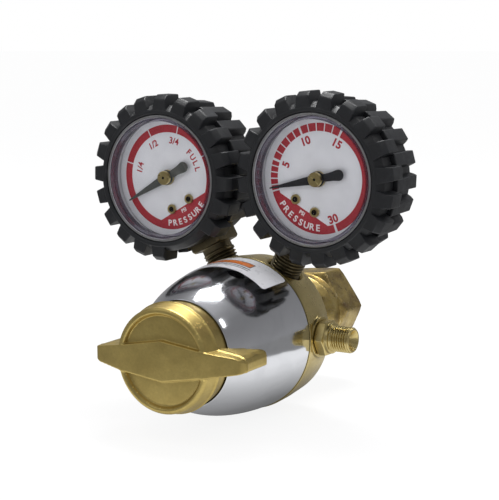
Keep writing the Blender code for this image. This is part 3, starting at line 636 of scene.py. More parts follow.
def label_look():
    """White foil with a plain printed stripe and rule lines, placed by angle and height."""
    look = Look("printed_label", (0.80, 0.80, 0.82), 0.3)
    parts = look.node("ShaderNodeSeparateXYZ", {"Vector": look.place})
    turn = look.math("ARCTAN2", parts.outputs["X"], parts.outputs["Y"])
    height = parts.outputs["Z"]

    def between(value, low, high):
        above = look.math("GREATER_THAN", value, low)
        below = look.math("LESS_THAN", value, high)
        return look.times(above, below)

    def panel(turn_low, turn_high, low, high):
        side = between(turn, math.radians(turn_low), math.radians(turn_high))
        return look.times(side, between(height, low * MM, high * MM))

    paper = look.drift(6.0, 3.0, (0.78, 0.78, 0.80), (0.70, 0.70, 0.73))
    orange = look.drift(2.0, 3.0, (0.62, 0.14, 0.02), (0.72, 0.22, 0.04))
    colour = look.mix(panel(-27, 19, 15.6, 20.4), paper, (0.05, 0.05, 0.06))
    colour = look.mix(panel(-26, 18, 16.1, 19.9), colour, orange)
    colour = look.mix(panel(-21, 21, 21.4, 22.1), colour, (0.06, 0.06, 0.08))
    colour = look.mix(panel(-14, 21, 23.0, 23.5), colour, (0.06, 0.06, 0.08))
    look.paint(colour)
    look.wear(2.5, 4.0, 0.22, 0.4)
    look.bump(0.02, 3.0, 3.0)
    return look


def dial_look():
    look = Look("dial_enamel", (0.80, 0.81, 0.83), 0.45)
    look.paint(look.drift(12.0, 4.0, (0.76, 0.77, 0.79), (0.71, 0.72, 0.74)))
    look.wear(1.5, 4.0, 0.38, 0.52)
    look.bump(0.002, 0.4, 2.0)
    return look


def ink_look(name, colour, pale):
    look = Look(name, colour, 0.5)
    faded = look.span(look.noise(0.8, 4.0), 0.4, 0.8, 0.0, 0.35)
    look.paint(look.mix(faded, colour, pale))
    look.wear(0.6, 3.0, 0.4, 0.55)
    look.bump(0.002, 0.25, 2.0)
    return look


def painted_look(name, colour, worn):
    """Paint with small chips at the edges, as on a pointer."""
    look = Look(name, colour, 0.42)
    chips = look.times(look.edges(0.55, 0.7), look.noise(0.5, 4.0))
    speck = look.span(look.noise(0.7, 4.0), 0.35, 0.75)
    look.paint(look.mix(chips, look.mix(speck, colour, scaled(colour, 1.3)), worn))
    look.wear(1.0, 4.0, 0.34, 0.5)
    look.bump(0.003, 0.3, 2.0)
    return look


def metal_look(name, colour, roughness):
    """Plain machined metal for the pieces inside."""
    look = Look(name, colour, roughness, 1.0)
    look.paint(look.drift(5.0, 4.0, colour, scaled(colour, 0.75)))
    look.wear(1.5, 4.0, roughness - 0.08, roughness + 0.1)
    look.bump(0.006, 0.8, 4.0, 0.7, place=look.stretched(4.0, 0.15))
    return look


def plastic_look(name, colour, roughness):
    look = Look(name, colour, roughness)
    look.paint(look.drift(3.0, 4.0, colour, scaled(colour, 0.85)))
    look.wear(1.0, 4.0, roughness - 0.06, roughness + 0.08)
    look.bump(0.004, 0.4, 3.0)
    return look


def clear_look(name, tint, gloss):
    """Clear plastic: what is behind shows through, under a mirror reflection."""
    look = Look(name, (0.95, 0.95, 0.97), 0.05, 1.0)
    look.set("Roughness", look.span(look.noise(2.0, 5.0), 0.3, 0.8, 0.02, 0.09))
    look.bump(0.01, 8.0, 2.0)
    colour = look.drift(6.0, 4.0, tint, scaled(tint, 0.97))
    askew = look.node("ShaderNodeLayerWeight", {"Blend": 0.5}).outputs["Facing"]
    colour = look.mix(look.span(askew, 0.35, 0.62), colour, scaled(tint, 0.50))
    through = look.node("ShaderNodeBsdfTransparent", {"Color": colour}).outputs["BSDF"]
    facing = look.node("ShaderNodeFresnel", {"IOR": 1.45}).outputs["Fac"]
    mirror = look.shader.outputs["BSDF"]
    look.set_surface(look.mixed_shader(look.times(facing, gloss), through, mirror))
    return look


LOOKS = {look.name: look.material for look in (
    brass_look("cast_brass", (0.75, 0.585, 0.21), (0.42, 0.31, 0.10), 0.40, grain=0.012, tarnish=0.35),
    brass_look("satin_brass", (0.70, 0.57, 0.26), (0.36, 0.28, 0.11), 0.30, lines=0.010, tarnish=0.15),
    brass_look("turned_brass", (0.80, 0.65, 0.29), (0.42, 0.32, 0.12), 0.30, lines=0.006, tarnish=0.2),
    brass_look("dark_brass", (0.26, 0.215, 0.12), (0.09, 0.075, 0.05), 0.40, grain=0.012, tarnish=0.6),
    # Near-black brass for small holes and dips: painted shade.
    brass_look("recess", (0.050, 0.042, 0.028), (0.020, 0.017, 0.012), 0.55, grain=0.010),
    patina_look(),
    chrome_look(),
    rubber_look(),
    label_look(),
    dial_look(),
    ink_look("red_ink", (0.42, 0.012, 0.024), (0.50, 0.06, 0.07)),
    ink_look("white_ink", (0.82, 0.78, 0.78), (0.74, 0.58, 0.58)),
    painted_look("pointer_black", (0.012, 0.012, 0.015), (0.10, 0.10, 0.09)),
    painted_look("pointer_grey", (0.060, 0.066, 0.060), (0.16, 0.16, 0.14)),
    metal_look("steel", (0.50, 0.50, 0.51), 0.34),
    metal_look("spring_steel", (0.34, 0.34, 0.36), 0.28),
    metal_look("bronze", (0.42, 0.27, 0.12), 0.5),
    plastic_look("diaphragm_rubber", (0.02, 0.02, 0.022), 0.55),
    plastic_look("seat_plastic", (0.70, 0.70, 0.66), 0.45),
    clear_look("lens_clear", (0.985, 0.985, 0.99), 0.3),
    clear_look("lens_rim", (0.66, 0.64, 0.70), 0.35),
)}


# ---- body and bonnet


def bonnet_radius(front):
    along = (front - BONNET_CENTRE) / BONNET_LENGTH
    return BONNET_RADIUS * (1 - along**BONNET_EXPONENT) ** (1 / BONNET_EXPONENT)


def build_body():
    profile = [
        (SPIGOT_RADIUS, 16.0), (SPIGOT_RADIUS, PARTING, 0.1), (31.9, PARTING, 0.35), (31.6, 2.0, 4),
        (30.5, -9.6, 1.6), (17.5, -9.6, 1.5), (14.5, -12.6, 2.0), (14.5, -33.5), (13.0, -35.0),
        (8.0, -35.0, 0), (8.0, -22.0, 0), (3.2, -22.0, 0), (3.2, -17.3, 0), (5.5, -17.3, 0),
        (5.5, -1.3, 0), (4.8, -1.3, 0), (4.8, 6.0, 0), (9.0, 6.0, 0), (9.0, -3.0, 0),
        (20.0, -3.0, 0), (20.0, 8.0, 0), (23.0, 8.0, 0), (23.0, 16.0, 0),
    ]
    body = revolve("regulator_casting", profile, 0.4, steps=180)
    to_x = rotated(90, "Y")
    boss = revolve("outlet_boss", [(0, 24.0), (10.6, 24.0), (10.6, 29.4), (8.6, 30.8, 1.2),
                                   (8.3, 31.9), (0, 31.9)], 0.35, steps=64)
    body = combined(body, "UNION", moved(boss, to_x))
    outlet_port = [(5.5, 24.3), (5.5, 40.0)]
    outlet_passage = [(1.7, 15.0), (1.7, 26.0)]
    stem_port = [(7.2, 24.5), (7.2, 29.4), (9.4, 31.9), (9.4, 40.0)]
    cuts = [(outlet_port, 48, to_x), (outlet_passage, 24, to_x)]
    cuts += [(stem_port, 64, AXIS_FRAME.inverted() @ STEM_FRAME[gauge]) for gauge in GAUGES]
    cutters = []
    for side, steps, place in cuts:
        profile = [(0, side[0][1]), *side, (0, side[-1][1])]
        cutters.append(moved(revolve("cutter", profile, 0, steps=steps), place))
    body = combined(body, "DIFFERENCE", *cutters)
    piece("regulator_casting", body, AXIS_FRAME, "satin_brass", ["regulator_body"], 32.0)


def build_bonnet():
    rear = PARTING + 0.3
    fronts = np.concatenate([np.linspace(rear, 44.0, 46), np.linspace(44.6, BONNET_MOUTH - 0.25, 24)])
    outer = [(bonnet_radius(front), front, 0) for front in fronts[::-1]]
    profile = [(MOUTH_RADIUS, BONNET_MOUTH - 0.3), (MOUTH_RADIUS + 0.12, BONNET_MOUTH, 0.15)] + outer
    profile += [
        (SPIGOT_RADIUS + 0.3, rear, 0.15), (SPIGOT_RADIUS + 0.3, 18.2, 0), (24.5, 18.2, 0),
        (24.5, 30.0), (22.5, 40.0, 1.0), (20.0, 43.0, 1.0), (SCREW_RADIUS + 0.3, 43.0),
        (SCREW_RADIUS + 0.3, 54.0), (9.5, 54.0, 0.6), (9.5, 46.5, 1.0), (MOUTH_RADIUS, 46.5, 1.0),
    ]
    bonnet = revolve("bonnet_shell", profile, 0.3, steps=256)
    hole = [polar(1.0, turn) for turn in np.linspace(0, 360, 48, endpoint=False)]
    vent = plate("vent", [[(3.9 * x, 2.7 * y) for x, y in hole]], 20.0, 40.0)
    place = rotated(-VENT_TURN, "Z")
    place = place @ Matrix.Translation((0, 0, VENT_PLACE * MM)) @ rotated(-90, "X")
    bonnet = combined(bonnet, "DIFFERENCE", moved(vent, place))
    piece("bonnet_shell", bonnet, AXIS_FRAME, "chrome", ["bonnet"], 30.0)


def build_label():
    """A foil wrapped over the top of the bonnet, its corners rounded."""
    corner, lift, thickness = 1.6, 0.05, 0.12
    rows, columns = 56, 90
    points = []
    for front in np.linspace(LABEL_REAR, LABEL_FRONT, rows):
        missing = max(0.0, corner - min(front - LABEL_REAR, LABEL_FRONT - front))
        inset = corner - math.sqrt(corner**2 - missing**2)
        for offset, side in ((lift, 1), (lift + thickness, -1)):
            radius = bonnet_radius(front) + offset
            half = side * (LABEL_HALF_ANGLE - math.degrees(inset / radius))
            points += [(*point, front) for point in arc(radius, 90 - half, 90 + half, columns)]
    ring = 2 * columns
    faces = ring_faces(rows, ring, False)
    for first in (0, (rows - 1) * ring):
        last = first + ring - 1
        for step in range(columns - 1):
            faces.append((first + step, first + step + 1, last - step - 1, last - step))
    piece("printed_label", mesh_from("printed_label", points, faces), AXIS_FRAME, "printed_label",
          ["bonnet_label"])


# ---- knob, inlet and outlet


def bar_outline(half, grown):
    """The T-bar seen along the axis: wide in the middle, with round tips."""
    side = [(half + grown, -1.8), (half + grown, 1.8), (half - 0.8, 3.2 + grown), (half - 2.9, 4.1 + grown),
            (0, 8.0 + grown, 0.9)]
    return rounded(side + [(-x, -y, *rest) for x, y, *rest in side], 1.1, True)


def build_knob():
    """The cast cap and its T-bar, merged and smoothed so that they join in cast fillets."""
    cap = revolve("cap", [
        (0, 67.4), (16.9, 67.4), (17.5, 67.3), (18.2, 68.6, 0.5), (18.7, 69.1, 0.4),
        (19.8, 69.1, 0.7), (20.6, 68.2, 0.7), (21.5, 62.3, 0.3), (22.0, 61.9, 0.2), (22.0, 61.2, 0.2),
        (21.3, 60.7, 0.3), (20.75, 54.5), (20.6, 51.2), (20.1, 50.7), (18.6, 50.7),
        (18.6, 62.0, 1.5), (6.65, 62.0), (6.65, 65.6), (0, 65.6),
    ], 0.3, steps=180)
    half = 33.8
    side = [(19.0, 69.4, 3.0), (half - 1.0, 66.0, 2.4), (half + 0.6, 60.0), (half + 0.2, 47.4, 1.2),
            (half - 1.8, 45.9, 1.0), (29.6, 48.4, 1.5), (21.9, 56.6, 3.0), (19.4, 58.5), (19.4, 66.4)]
    side = [(-x, *rest) for x, *rest in side] + side[::-1]
    bar = plate("bar", [bar_outline(half, 0.0)], 40.0, 80.0)
    depth = plate("bar_side", [rounded(side, 0.3, True)], -20.0, 20.0)
    bar = combined(bar, "INTERSECT", moved(depth, FRONTWARD))
    ridge = plate("parting_ridge", [bar_outline(half, 0.38)], 61.2, 61.95)
    knob = linked("t_handle", merged("t_handle", [cap, bar, ridge]))
    remesh = knob.modifiers.new("Cast", "REMESH")
    remesh.mode = "VOXEL"
    remesh.voxel_size = 0.26 * MM
    smooth = knob.modifiers.new("Smooth", "SMOOTH")
    smooth.factor = 0.5
    smooth.iterations = 5
    mesh = evaluated_copy(knob)
    bpy.data.objects.remove(knob)
    piece("t_handle", mesh, AXIS_FRAME, "cast_brass", ["adjusting_knob"], 80.0, "knob")
    screw = revolve("adjusting_thread", [
        (0, 65.3), (SCREW_RADIUS, 65.3), (SCREW_RADIUS, 42.8), (4.0, 40.8, 1.0), (0, 40.8),
    ], 0.3, steps=96, threads=[(43.0, 65.0, SCREW_RADIUS, SCREW_RADIUS, SCREW_PITCH, 0.6)])
    piece("adjusting_thread", screw, AXIS_FRAME, "turned_brass", ["adjusting_screw"],
          65.0, "knob")


def build_inlet():
    across, turn, bore, pitch = 34.2, 35.0, 11.3, 1.81
    corner = across / math.sqrt(3)
    nut = revolve("inlet_union_nut", [
        (13.2, -36.0), (16.6, -40.0, 0.8), (16.6, -45.0, 0.4), (corner, -47.0), (corner, -60.4),
        (corner - 0.8, -61.0), (bore + 0.8, -61.0), (bore, -60.2), (bore, -44.0), (7.4, -44.0),
        (7.4, -36.0),
    ], 0.3, steps=144, flats=[(-61.1, -45.2, across, 6, turn)],
        threads=[(-60.0, -46.0, bore, bore, pitch, -0.9)])
    piece("inlet_union_nut", nut, AXIS_FRAME, "patina_brass", ["inlet_nut"], 50.0,
          "inlet_nut")
    nipple = revolve("inlet_nose", [
        (7.7, -22.3), (7.7, -35.0), (7.0, -35.0), (7.0, -44.3, 1.0), (10.2, -44.3), (10.2, -48.0),
        (9.0, -49.0, 1.0), (8.3, -52.5, 3.0), (5.2, -57.0, 0.8), (2.5, -57.0, 0.4), (2.5, -33.0),
        (4.5, -33.0), (4.5, -22.3),
    ], 0.25, steps=96)
    piece("inlet_nose", nipple, AXIS_FRAME, "turned_brass", ["inlet_nipple"])


def build_outlet():
    across, turn, thread, pitch = 13.6, 30.0, 5.3, 1.058
    corner = across / math.sqrt(3)
    outlet = revolve("outlet_nose", [
        (4.75, 46.4, 0.15), (thread, 45.7), (thread, 37.5), (6.3, 37.4), (6.3, 36.0), (corner, 35.5),
        (corner, 32.9), (corner - 0.6, 32.2), (5.2, 32.2), (5.2, 24.6), (1.7, 24.6), (1.7, 42.0),
        (4.15, 46.4, 0.15),
    ], 0.25, steps=96, flats=[(32.1, 36.05, across, 6, turn)],
        threads=[(37.6, 46.1, thread, thread, pitch, 0.6)])
    piece("outlet_nose", outlet, OUTLET_FRAME, "turned_brass", ["outlet_fitting"], 50.0)


# ---- gauges


def build_socket(gauge):
    length = STEM_LENGTH[gauge]
    neck = length - 33.3
    square_end, plug_end = length - 27.0, length - 18.0
    socket = revolve(gauge + "_stem", [
        (1.5, 25.9), (5.9, 25.9), (6.5, 26.9), (6.9, neck - 3.0), (6.4, neck - 2.5),
        (6.4, neck, 0.6), (9.7, neck, 0.3), (10.7, neck + 0.9, 0.3), (10.7, square_end, 0.3),
        (7.1, square_end, 0), (7.1, plug_end), (1.5, plug_end),
    ], 0.2, steps=96,
        flats=[(neck - 0.01, square_end - 0.1, STEM_SQUARE, 4, 0.0),
               (square_end + 0.1, length, PLUG_SQUARE, 4, 0.0)],
        threads=[(26.7, neck - 3.0, 6.5, 6.9, 1.41, 0.85)])
    piece(gauge + "_stem", socket, STEM_FRAME[gauge], "dark_brass", [gauge + "_socket"],
          50.0)


def build_case(gauge):
    case = revolve(gauge + "_gauge_case", [
        (0, -11.0), (CASE_BORE, -11.0, 0.8), (CASE_BORE, 18.6),
        (CASE_RADIUS, 18.6), (CASE_RADIUS, -10.5, 2.0),
        (24.8, -12.0, 1.0), (9.0, -12.0), (8.4, -11.8), (0, -11.8),
    ], 0.25, steps=128)
    hole = PLUG_SQUARE + 0.6
    case = combined(case, "DIFFERENCE", slot_cutter((hole, 12.0, hole), (0, -26.0, 0)))
    case = piece(gauge + "_gauge_case", case, GAUGE_FRAME[gauge], "steel", [gauge + "_case"],
                 35.0)
    # Painted reflection: the inner wall of the case takes the white dial enamel, standing in for the dial
    # reflected in the lens wall.
    repaint(case, "dial_enamel",
            lambda centre, normal: centre.xy.length < CASE_BORE + 0.02 and abs(normal.z) < 0.3)


def lug_mesh(outline, foot, top, turn):
    """One tread lug: a side outline of (radius, height), narrower at its top, edges rounded."""
    low = min(radius for radius, height in outline)
    high = max(radius for radius, height in outline)
    bm = bmesh.new()
    corners = []
    for radius, height in outline:
        half = (foot + (top - foot) * (radius - low) / (high - low)) / 2
        for across in (-half, half):
            corners.append(bm.verts.new((across * MM, -radius * MM, height * MM)))
    bmesh.ops.convex_hull(bm, input=corners, use_existing_faces=False)
    bmesh.ops.dissolve_limit(bm, angle_limit=math.radians(2), verts=bm.verts, edges=bm.edges)
    bmesh.ops.bevel(bm, geom=list(bm.edges), offset=0.5 * MM, segments=3, profile=0.6,
                    affect="EDGES", clamp_overlap=True)
    bmesh.ops.recalc_face_normals(bm, faces=bm.faces)
    bmesh.ops.rotate(bm, verts=bm.verts, matrix=Matrix.Rotation(math.radians(turn), 3, "Z"))
    return mesh_of("lug", bm)


def build_boot(gauge):
    """The rubber boot: a ring with two rows of tread lugs, half a pitch apart.

    The left gauge's boot has none by the stem.
    """
    boot = revolve(gauge + "_rubber_boot", [
        (26.6, 18.75, 0.2), (27.2, 19.2, 0.4), (28.4, 19.2, 0.8), (30.6, 15.5, 1.5), (30.6, 8.0, 1.0),
        (28.2, 6.5, 1.0), (28.2, -13.4, 1.6), (22.5, -13.4, 0.4), (22.5, -12.3, 0.2), (26.6, -12.3, 0.2),
    ], 0.4, steps=120)
    front = [(27.4, 8.0), (34.7, 8.0), (34.7, 16.2), (32.8, 18.6), (27.4, 19.0)]
    rear = [(27.4, 7.6), (32.4, 7.6), (31.4, -11.8), (29.5, -13.1), (27.4, -13.2)]
    pitch = 360 / LUG_COUNT
    lugs = []
    for index in range(LUG_COUNT):
        turn = -LUG_TURN[gauge] - index * pitch
        for outline, foot, top, shift in ((front, 7.0, 5.2, 0.0), (rear, 6.4, 4.8, pitch / 2)):
            from_stem = (turn + shift + 180) % 360 - 180
            if abs(from_stem) >= LUG_FREE_ANGLE[gauge]:
                lugs.append(lug_mesh(outline, foot, top, turn + shift))
    boot = combined(boot, "UNION", merged("lugs", lugs))
    hole = STEM_SQUARE + 0.6
    boot = combined(boot, "DIFFERENCE", slot_cutter((hole, 14.0, hole), (0, -31.0, 0)))
    piece(gauge + "_rubber_boot", boot, GAUGE_FRAME[gauge], "moulded_rubber", [gauge + "_boot"],
          38.0)


def build_lens(gauge):
    lens = revolve(gauge + "_window", [
        (0, 19.3), (23.0, 19.3, 1.0), (24.3, 19.1, 0.5), (LENS_RADIUS, 18.5, 0.4), (LENS_RADIUS, 14.5),
        (23.8, 14.5), (23.8, 17.6, 0.4), (23.3, 17.8, 0.4), (0, 17.8),
    ], 0.2, steps=144)
    window = piece(gauge + "_window", lens, GAUGE_FRAME[gauge], "lens_clear", [gauge + "_lens"],
                   50.0)
    repaint(window, "lens_rim", lambda centre, normal: centre.xy.length > 23.75)


def build_dial(gauge):
    dial = plate(gauge + "_dial_face", [arc(24.9, 0, 358, 180)] + [
        arc(SHAFT_HOLE, 0, 345, 24), *[arc(0.95, 0, 330, 12, spot) for spot in DIAL_SCREWS],
    ], DIAL_PLANE - 0.5, DIAL_PLANE)
    piece(gauge + "_dial_face", dial, GAUGE_FRAME[gauge], "dial_enamel", [gauge + "_dial"])
    recess = [(0, 11.5), (1.1, 11.5), (1.15, 12.15, 0.1), (1.75, 12.3, 0.25), (2.0, 12.0, 0.2),
              (2.0, 11.3), (0.65, 11.3), (0.65, 6.0), (0, 6.0)]
    for index, (x, y) in enumerate(DIAL_SCREWS, 1):
        screw = revolve("screw", recess, 0.08, steps=36)
        slot = slot_cutter((2.0, 0.35, 0.6), (0, 0, 11.6))
        slot.transform(rotated(35 * index, "Z"))
        screw = combined(screw, "DIFFERENCE", slot)
        place = GAUGE_FRAME[gauge] @ Matrix.Translation((x * MM, y * MM, 0))
        screw = piece(f"{gauge}_face_screw_{index}", screw, place, "turned_brass",
                      [f"{gauge}_dial_screw_{index}"], 35.0)
        # Painted shade: the recess in the screw head is near-black.
        repaint(screw, "recess", lambda centre, normal: centre.xy.length < 1.16 and centre.z < 12.1)


def text_curve(text, size):
    curve = bpy.data.curves.new("text", "FONT")
    curve.body = text
    curve.size = size * MM
    curve.align_x = "CENTER"
    curve.align_y = "CENTER"
    return curve


def extent(mesh):
    """The lowest and the highest corner of the box round a mesh, in metres."""
    points = np.array([vertex.co for vertex in mesh.vertices])
    return Vector(points.min(axis=0)), Vector(points.max(axis=0))


def capital_share():
    """Height of a capital letter of the built-in font, as a share of the text's size."""
    size = 10.0
    low, high = extent(curve_mesh(text_curve("H", size)))
    return (high.y - low.y) / (size * MM)


CAPITAL_SHARE = capital_share()


def text_mesh(text, capital, weight, bottom, top, turn, centre):
    """Letters or figures this tall as a thin solid, centred, turned anticlockwise and moved.

    The weight is how far each stroke is widened on both of its sides.
    """
    curve = text_curve(text, capital / CAPITAL_SHARE)
    curve.offset = weight * MM
    curve.extrude = (top - bottom) / 2 * MM
    mesh = curve_mesh(curve)
    low, high = extent(mesh)
    place = Matrix.Translation(Vector((*centre, (bottom + top) / 2)) * MM)
    place = place @ rotated(turn, "Z") @ Matrix.Translation(-(low + high) / 2)
    return moved(mesh, place)


def arc_text(text, capital, weight, radius, middle, spacing, tops_out, bottom, top):
    """Letters set one by one round the dial. Spacing is the angle between neighbours."""
    meshes = []
    direction = 1 if tops_out else -1
    start = middle - direction * spacing * (len(text) - 1) / 2
    for index, letter in enumerate(text):
        clock = start + direction * spacing * index
        turn = 180 - clock if tops_out else -clock
        meshes.append(text_mesh(letter, capital, weight, bottom, top, turn, dial_point(radius, clock)))
    return meshes


def band_parts(marks, half_gaps, bottom, top):
    """The scale's band from mark to mark, each part ending half a gap before the mark."""
    parts = []
    for start, end, before, after in zip(marks, marks[1:], half_gaps, half_gaps[1:]):
        start, end = start + before, end - after
        outline = dial_arc(BAND_OUTER, start, end) + dial_arc(BAND_INNER, end, start)
        parts.append(plate("band", [outline], bottom, top))
    return parts


def foot_outline(left, right, chord):
    """From the left end of the foot, round the bottom, to its right end, and back by the chord."""
    meet = math.degrees(math.acos(-chord / BAND_INNER))
    outline = dial_arc(BAND_OUTER, left, -right)
    outline += dial_arc(BAND_INNER, -right, -meet)
    outline += dial_arc(BAND_INNER, meet, left) if left > meet else [dial_point(BAND_INNER, left)]
    return outline


def build_print(gauge, foot, band, figures, figure_size, word, unit_height):
    """Red printing on a dial, and white words on its red foot.

    Each figure is its text, place and turn. Its size, and the word's, starts with the height
    and weight of a letter; the word's goes on with its radius.
    """
    red = [plate("foot", [foot_outline(*foot)], *RED_LAYER)] + band
    for text, place, turn in figures:
        red.append(text_mesh(text, *figure_size, *RED_LAYER, turn, place))
    if gauge == "contents":
        red += arc_text("FULL", 2.4, 0.10, 15.0, 268, 10.4, True, *RED_LAYER)
    white = arc_text("PRESSURE", *word, 0, 7.9, False, *WHITE_LAYER)
    white.append(text_mesh("PSI", 1.5, 0.05, *WHITE_LAYER, 0, (0, unit_height)))
    for colour, meshes in (("red", red), ("white", white)):
        name = f"{gauge}_dial_{colour}"
        piece(name, merged(name, meshes), GAUGE_FRAME[gauge], colour + "_ink", [])


def build_prints():
    marks = [41, 90, 134, 181, 222, 270, 312]
    band = band_parts(marks, [0, 0, 0.7, 0.7, 0.7, 0.7, 0], *RED_LAYER)
    build_print(
        "contents", (41.4, 48.0, -13.55), band,
        [("1/4", (-10.9, 10.3), 47.0), ("1/2", (0, 15.4), 0.0), ("3/4", (9.9, 11.9), -40.0)],
        (2.6, 0.09), (2.4, 0.09, 19.2), -15.3,
    )
    marks = [45, 52, 59, 66, 73, 80, 89.3, 98.6, 108, 117.3, 126.6, 136.9, 147.2, 157.4, 167.7, 178]
    half_gaps = [1.3 if index % 5 == 0 else 0.65 for index in range(len(marks))]
    band = band_parts(marks, half_gaps, *RED_LAYER) + band_parts([179.3, 308.6], [0, 0], *RED_LAYER)
    build_print(
        "delivery", (44.6, 48.6, -14.2), band,
        [("5", (-15.6, -2.9), 100.6), ("10", (-12.3, 10.1), 50.6), ("15", (0.2, 16.1), 2.0),
         ("30", (12.9, -10.5), 51.0)],
        (3.0, 0.17), (2.5, 0.09, 19.5), -15.9,
    )


def build_pointer(gauge, paint):
    needle = [(-0.25, -21.9), (0.25, -21.9), (1.75, -3.0, 1.0), (3.0, -1.2, 0.8), (3.0, 1.2, 0.8),
              (1.5, 3.0, 0.8), (1.75, 7.0, 2.0)]
    needle = rounded(needle, 0.15, False)
    tail = arc(2.25, 0, 180, 24, (0, 9.6))
    mirrored = [(-x, y) for x, y in needle[:2:-1]]
    hole = arc(SHAFT_HOLE, 0, 345, 24)
    mesh = plate(gauge + "_needle", [needle + tail + mirrored, hole], 12.7, 13.2)
    place = GAUGE_FRAME[gauge] @ rotated(-POINTER_REST[gauge], "Z")
    piece(gauge + "_needle", mesh, place, paint, [gauge + "_pointer"], 35.0,
          gauge + "_pointer", bevel=0.1)
    bush = revolve(gauge + "_hub", [
        (0, 14.9), (0.45, 14.9), (0.55, 15.4, 0.08), (2.6, 15.5, 0.2), (2.9, 15.2, 0.2),
        (2.9, 13.9, 0.1), (2.45, 13.7, 0.1), (2.45, 13.4, 0.1), (1.9, 13.4), (1.9, 12.5), (3.2, 12.4, 0.2),
        (3.2, 11.6, 0.2), (0.95, 11.6), (0.95, 14.0), (0, 14.0),
    ], 0.1, steps=72)
    hub = piece(gauge + "_hub", bush, place, "turned_brass", [gauge + "_pointer_bush"],
                40.0, gauge + "_pointer")
    # Painted shade: the small dip at the centre of the hub is near-black.
    repaint(hub, "recess", lambda centre, normal: centre.xy.length < 0.56 and centre.z < 15.3)


# ---- soft pieces inside


def build_spring(node, radius, wire, low, high, active):
    """A coil spring with closed ends."""
    curve = bpy.data.curves.new(node, "CURVE")
    curve.dimensions = "3D"
    curve.bevel_depth = wire * MM
    curve.bevel_resolution = 4
    curve.use_fill_caps = True
    per_turn = 36
    closed = 2.1 * wire
    turns = [0, 1, active + 1, active + 2]
    heights = [low, low + closed, high - closed, high]
    spline = curve.splines.new("POLY")
    spline.points.add((active + 2) * per_turn)
    for index, point in enumerate(spline.points):
        turn = index / per_turn
        x, y = polar(radius, 360 * turn)
        point.co = (x * MM, y * MM, float(np.interp(turn, turns, heights)) * MM, 1)
    coil = piece(node + "_coil", curve_mesh(curve), AXIS_FRAME, "spring_steel", [node],
                 60.0, None)
    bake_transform(coil)


def build_diaphragm():
    """A rubber disc with a clamped rim, a flat centre and a bead between."""
    rim, centre = 24.0, 17.0
    disc = revolve("diaphragm_disc", [
        (27.7, 17.1), (27.7, 16.3), (rim, 16.3), (20.5, 17.2, 2.0), (centre, 16.3), (2.3, 16.3),
        (2.3, 17.1), (centre, 17.1), (20.5, 18.0, 2.0), (rim, 17.1),
    ], 0.2, steps=120)
    disc = piece("diaphragm_disc", disc, AXIS_FRAME, "diaphragm_rubber", ["diaphragm"],
                 50.0, None)
    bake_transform(disc)


# ---- pieces inside, kept from CAD

INSIDE_LOOKS = {
    "turned_brass": ("valve_nozzle", "movement_frame", "sector_gear", "pointer_shaft", "link"),
    "steel": ("diaphragm_slip_ring", "spring_button", "diaphragm_plate", "valve_poppet"),
    "bronze": ("inlet_filter", "bourdon_tube", "hairspring"),
    "seat_plastic": ("valve_seat",),
}


def dress_inside_nodes():
    """A finished look on every CAD node that is still shown."""
    look_of = {node: look for look, nodes in INSIDE_LOOKS.items() for node in nodes}
    for name, obj in frame["nodes"].items():
        if obj.hide_render:
            continue
        for gauge in GAUGES:
            name = name.removeprefix(gauge + "_")
        obj.data.materials.clear()
        obj.data.materials.append(LOOKS[look_of[name]])


# ---- studio


def build_world():
    """White for the camera, a soft dome for diffuse light and a banded studio for reflections."""
    world = bpy.data.worlds.new("studio")
    bpy.context.scene.world = world
    world.use_nodes = True
    world.node_tree.nodes.clear()
    sky = Nodes(world.node_tree, "Generated")
    wobble = sky.node("ShaderNodeTexNoise", {"Vector": sky.place, "Scale": 2.4, "Detail": 3.0})
    height = sky.node("ShaderNodeSeparateXYZ", {"Vector": sky.place}).outputs["Z"]
    height = sky.math("MULTIPLY_ADD", wobble.outputs["Fac"], 0.12, height)
    height = sky.span(height, -0.94, 1.06)

    def dome(stops):
        greys = sky.ramp(height, [((z + 1) / 2, (grey, grey, grey * 1.02)) for z, grey in stops])
        return sky.node("ShaderNodeBackground", {"Color": greys}).outputs["Background"]

    reflected = dome([(-1.0, 0.30), (0.0, 0.28), (0.15, 0.25), (0.50, 0.20), (0.70, 0.20),
                      (0.85, 0.28), (0.95, 0.40), (1.0, 0.45)])
    soft = dome([(-1.0, 0.70), (0.0, 0.80), (0.5, 1.0), (1.0, 1.4)])
    white = sky.node("ShaderNodeBackground", {"Color": WHITE}).outputs["Background"]
    path = sky.node("ShaderNodeLightPath").outputs
    light = sky.mixed_shader(path["Is Glossy Ray"], soft, reflected)
    light = sky.mixed_shader(path["Is Camera Ray"], light, white)
    sky.node("ShaderNodeOutputWorld", {"Surface": light})


def seen_from(azimuth, elevation):
    """The direction of a place. Azimuth 0 is in front and 90 at the outlet's side."""
    around, up = math.radians(azimuth), math.radians(elevation)
    return Vector((math.sin(around) * math.cos(up), -math.cos(around) * math.cos(up), math.sin(up)))


def softbox(name, azimuth, elevation, size, radiance, distance):
    """An area light that faces the object."""
    direction = seen_from(azimuth, elevation)
    light = bpy.data.lights.new(name, "AREA")
    light.shape = "RECTANGLE"
    light.size, light.size_y = size
    light.energy = radiance * math.pi * size[0] * size[1]
    box = linked(name, light)
    box.location = AXIS_PLACE + direction * distance
    box.rotation_mode = "QUATERNION"
    box.rotation_quaternion = direction.to_track_quat("Z", "Y")


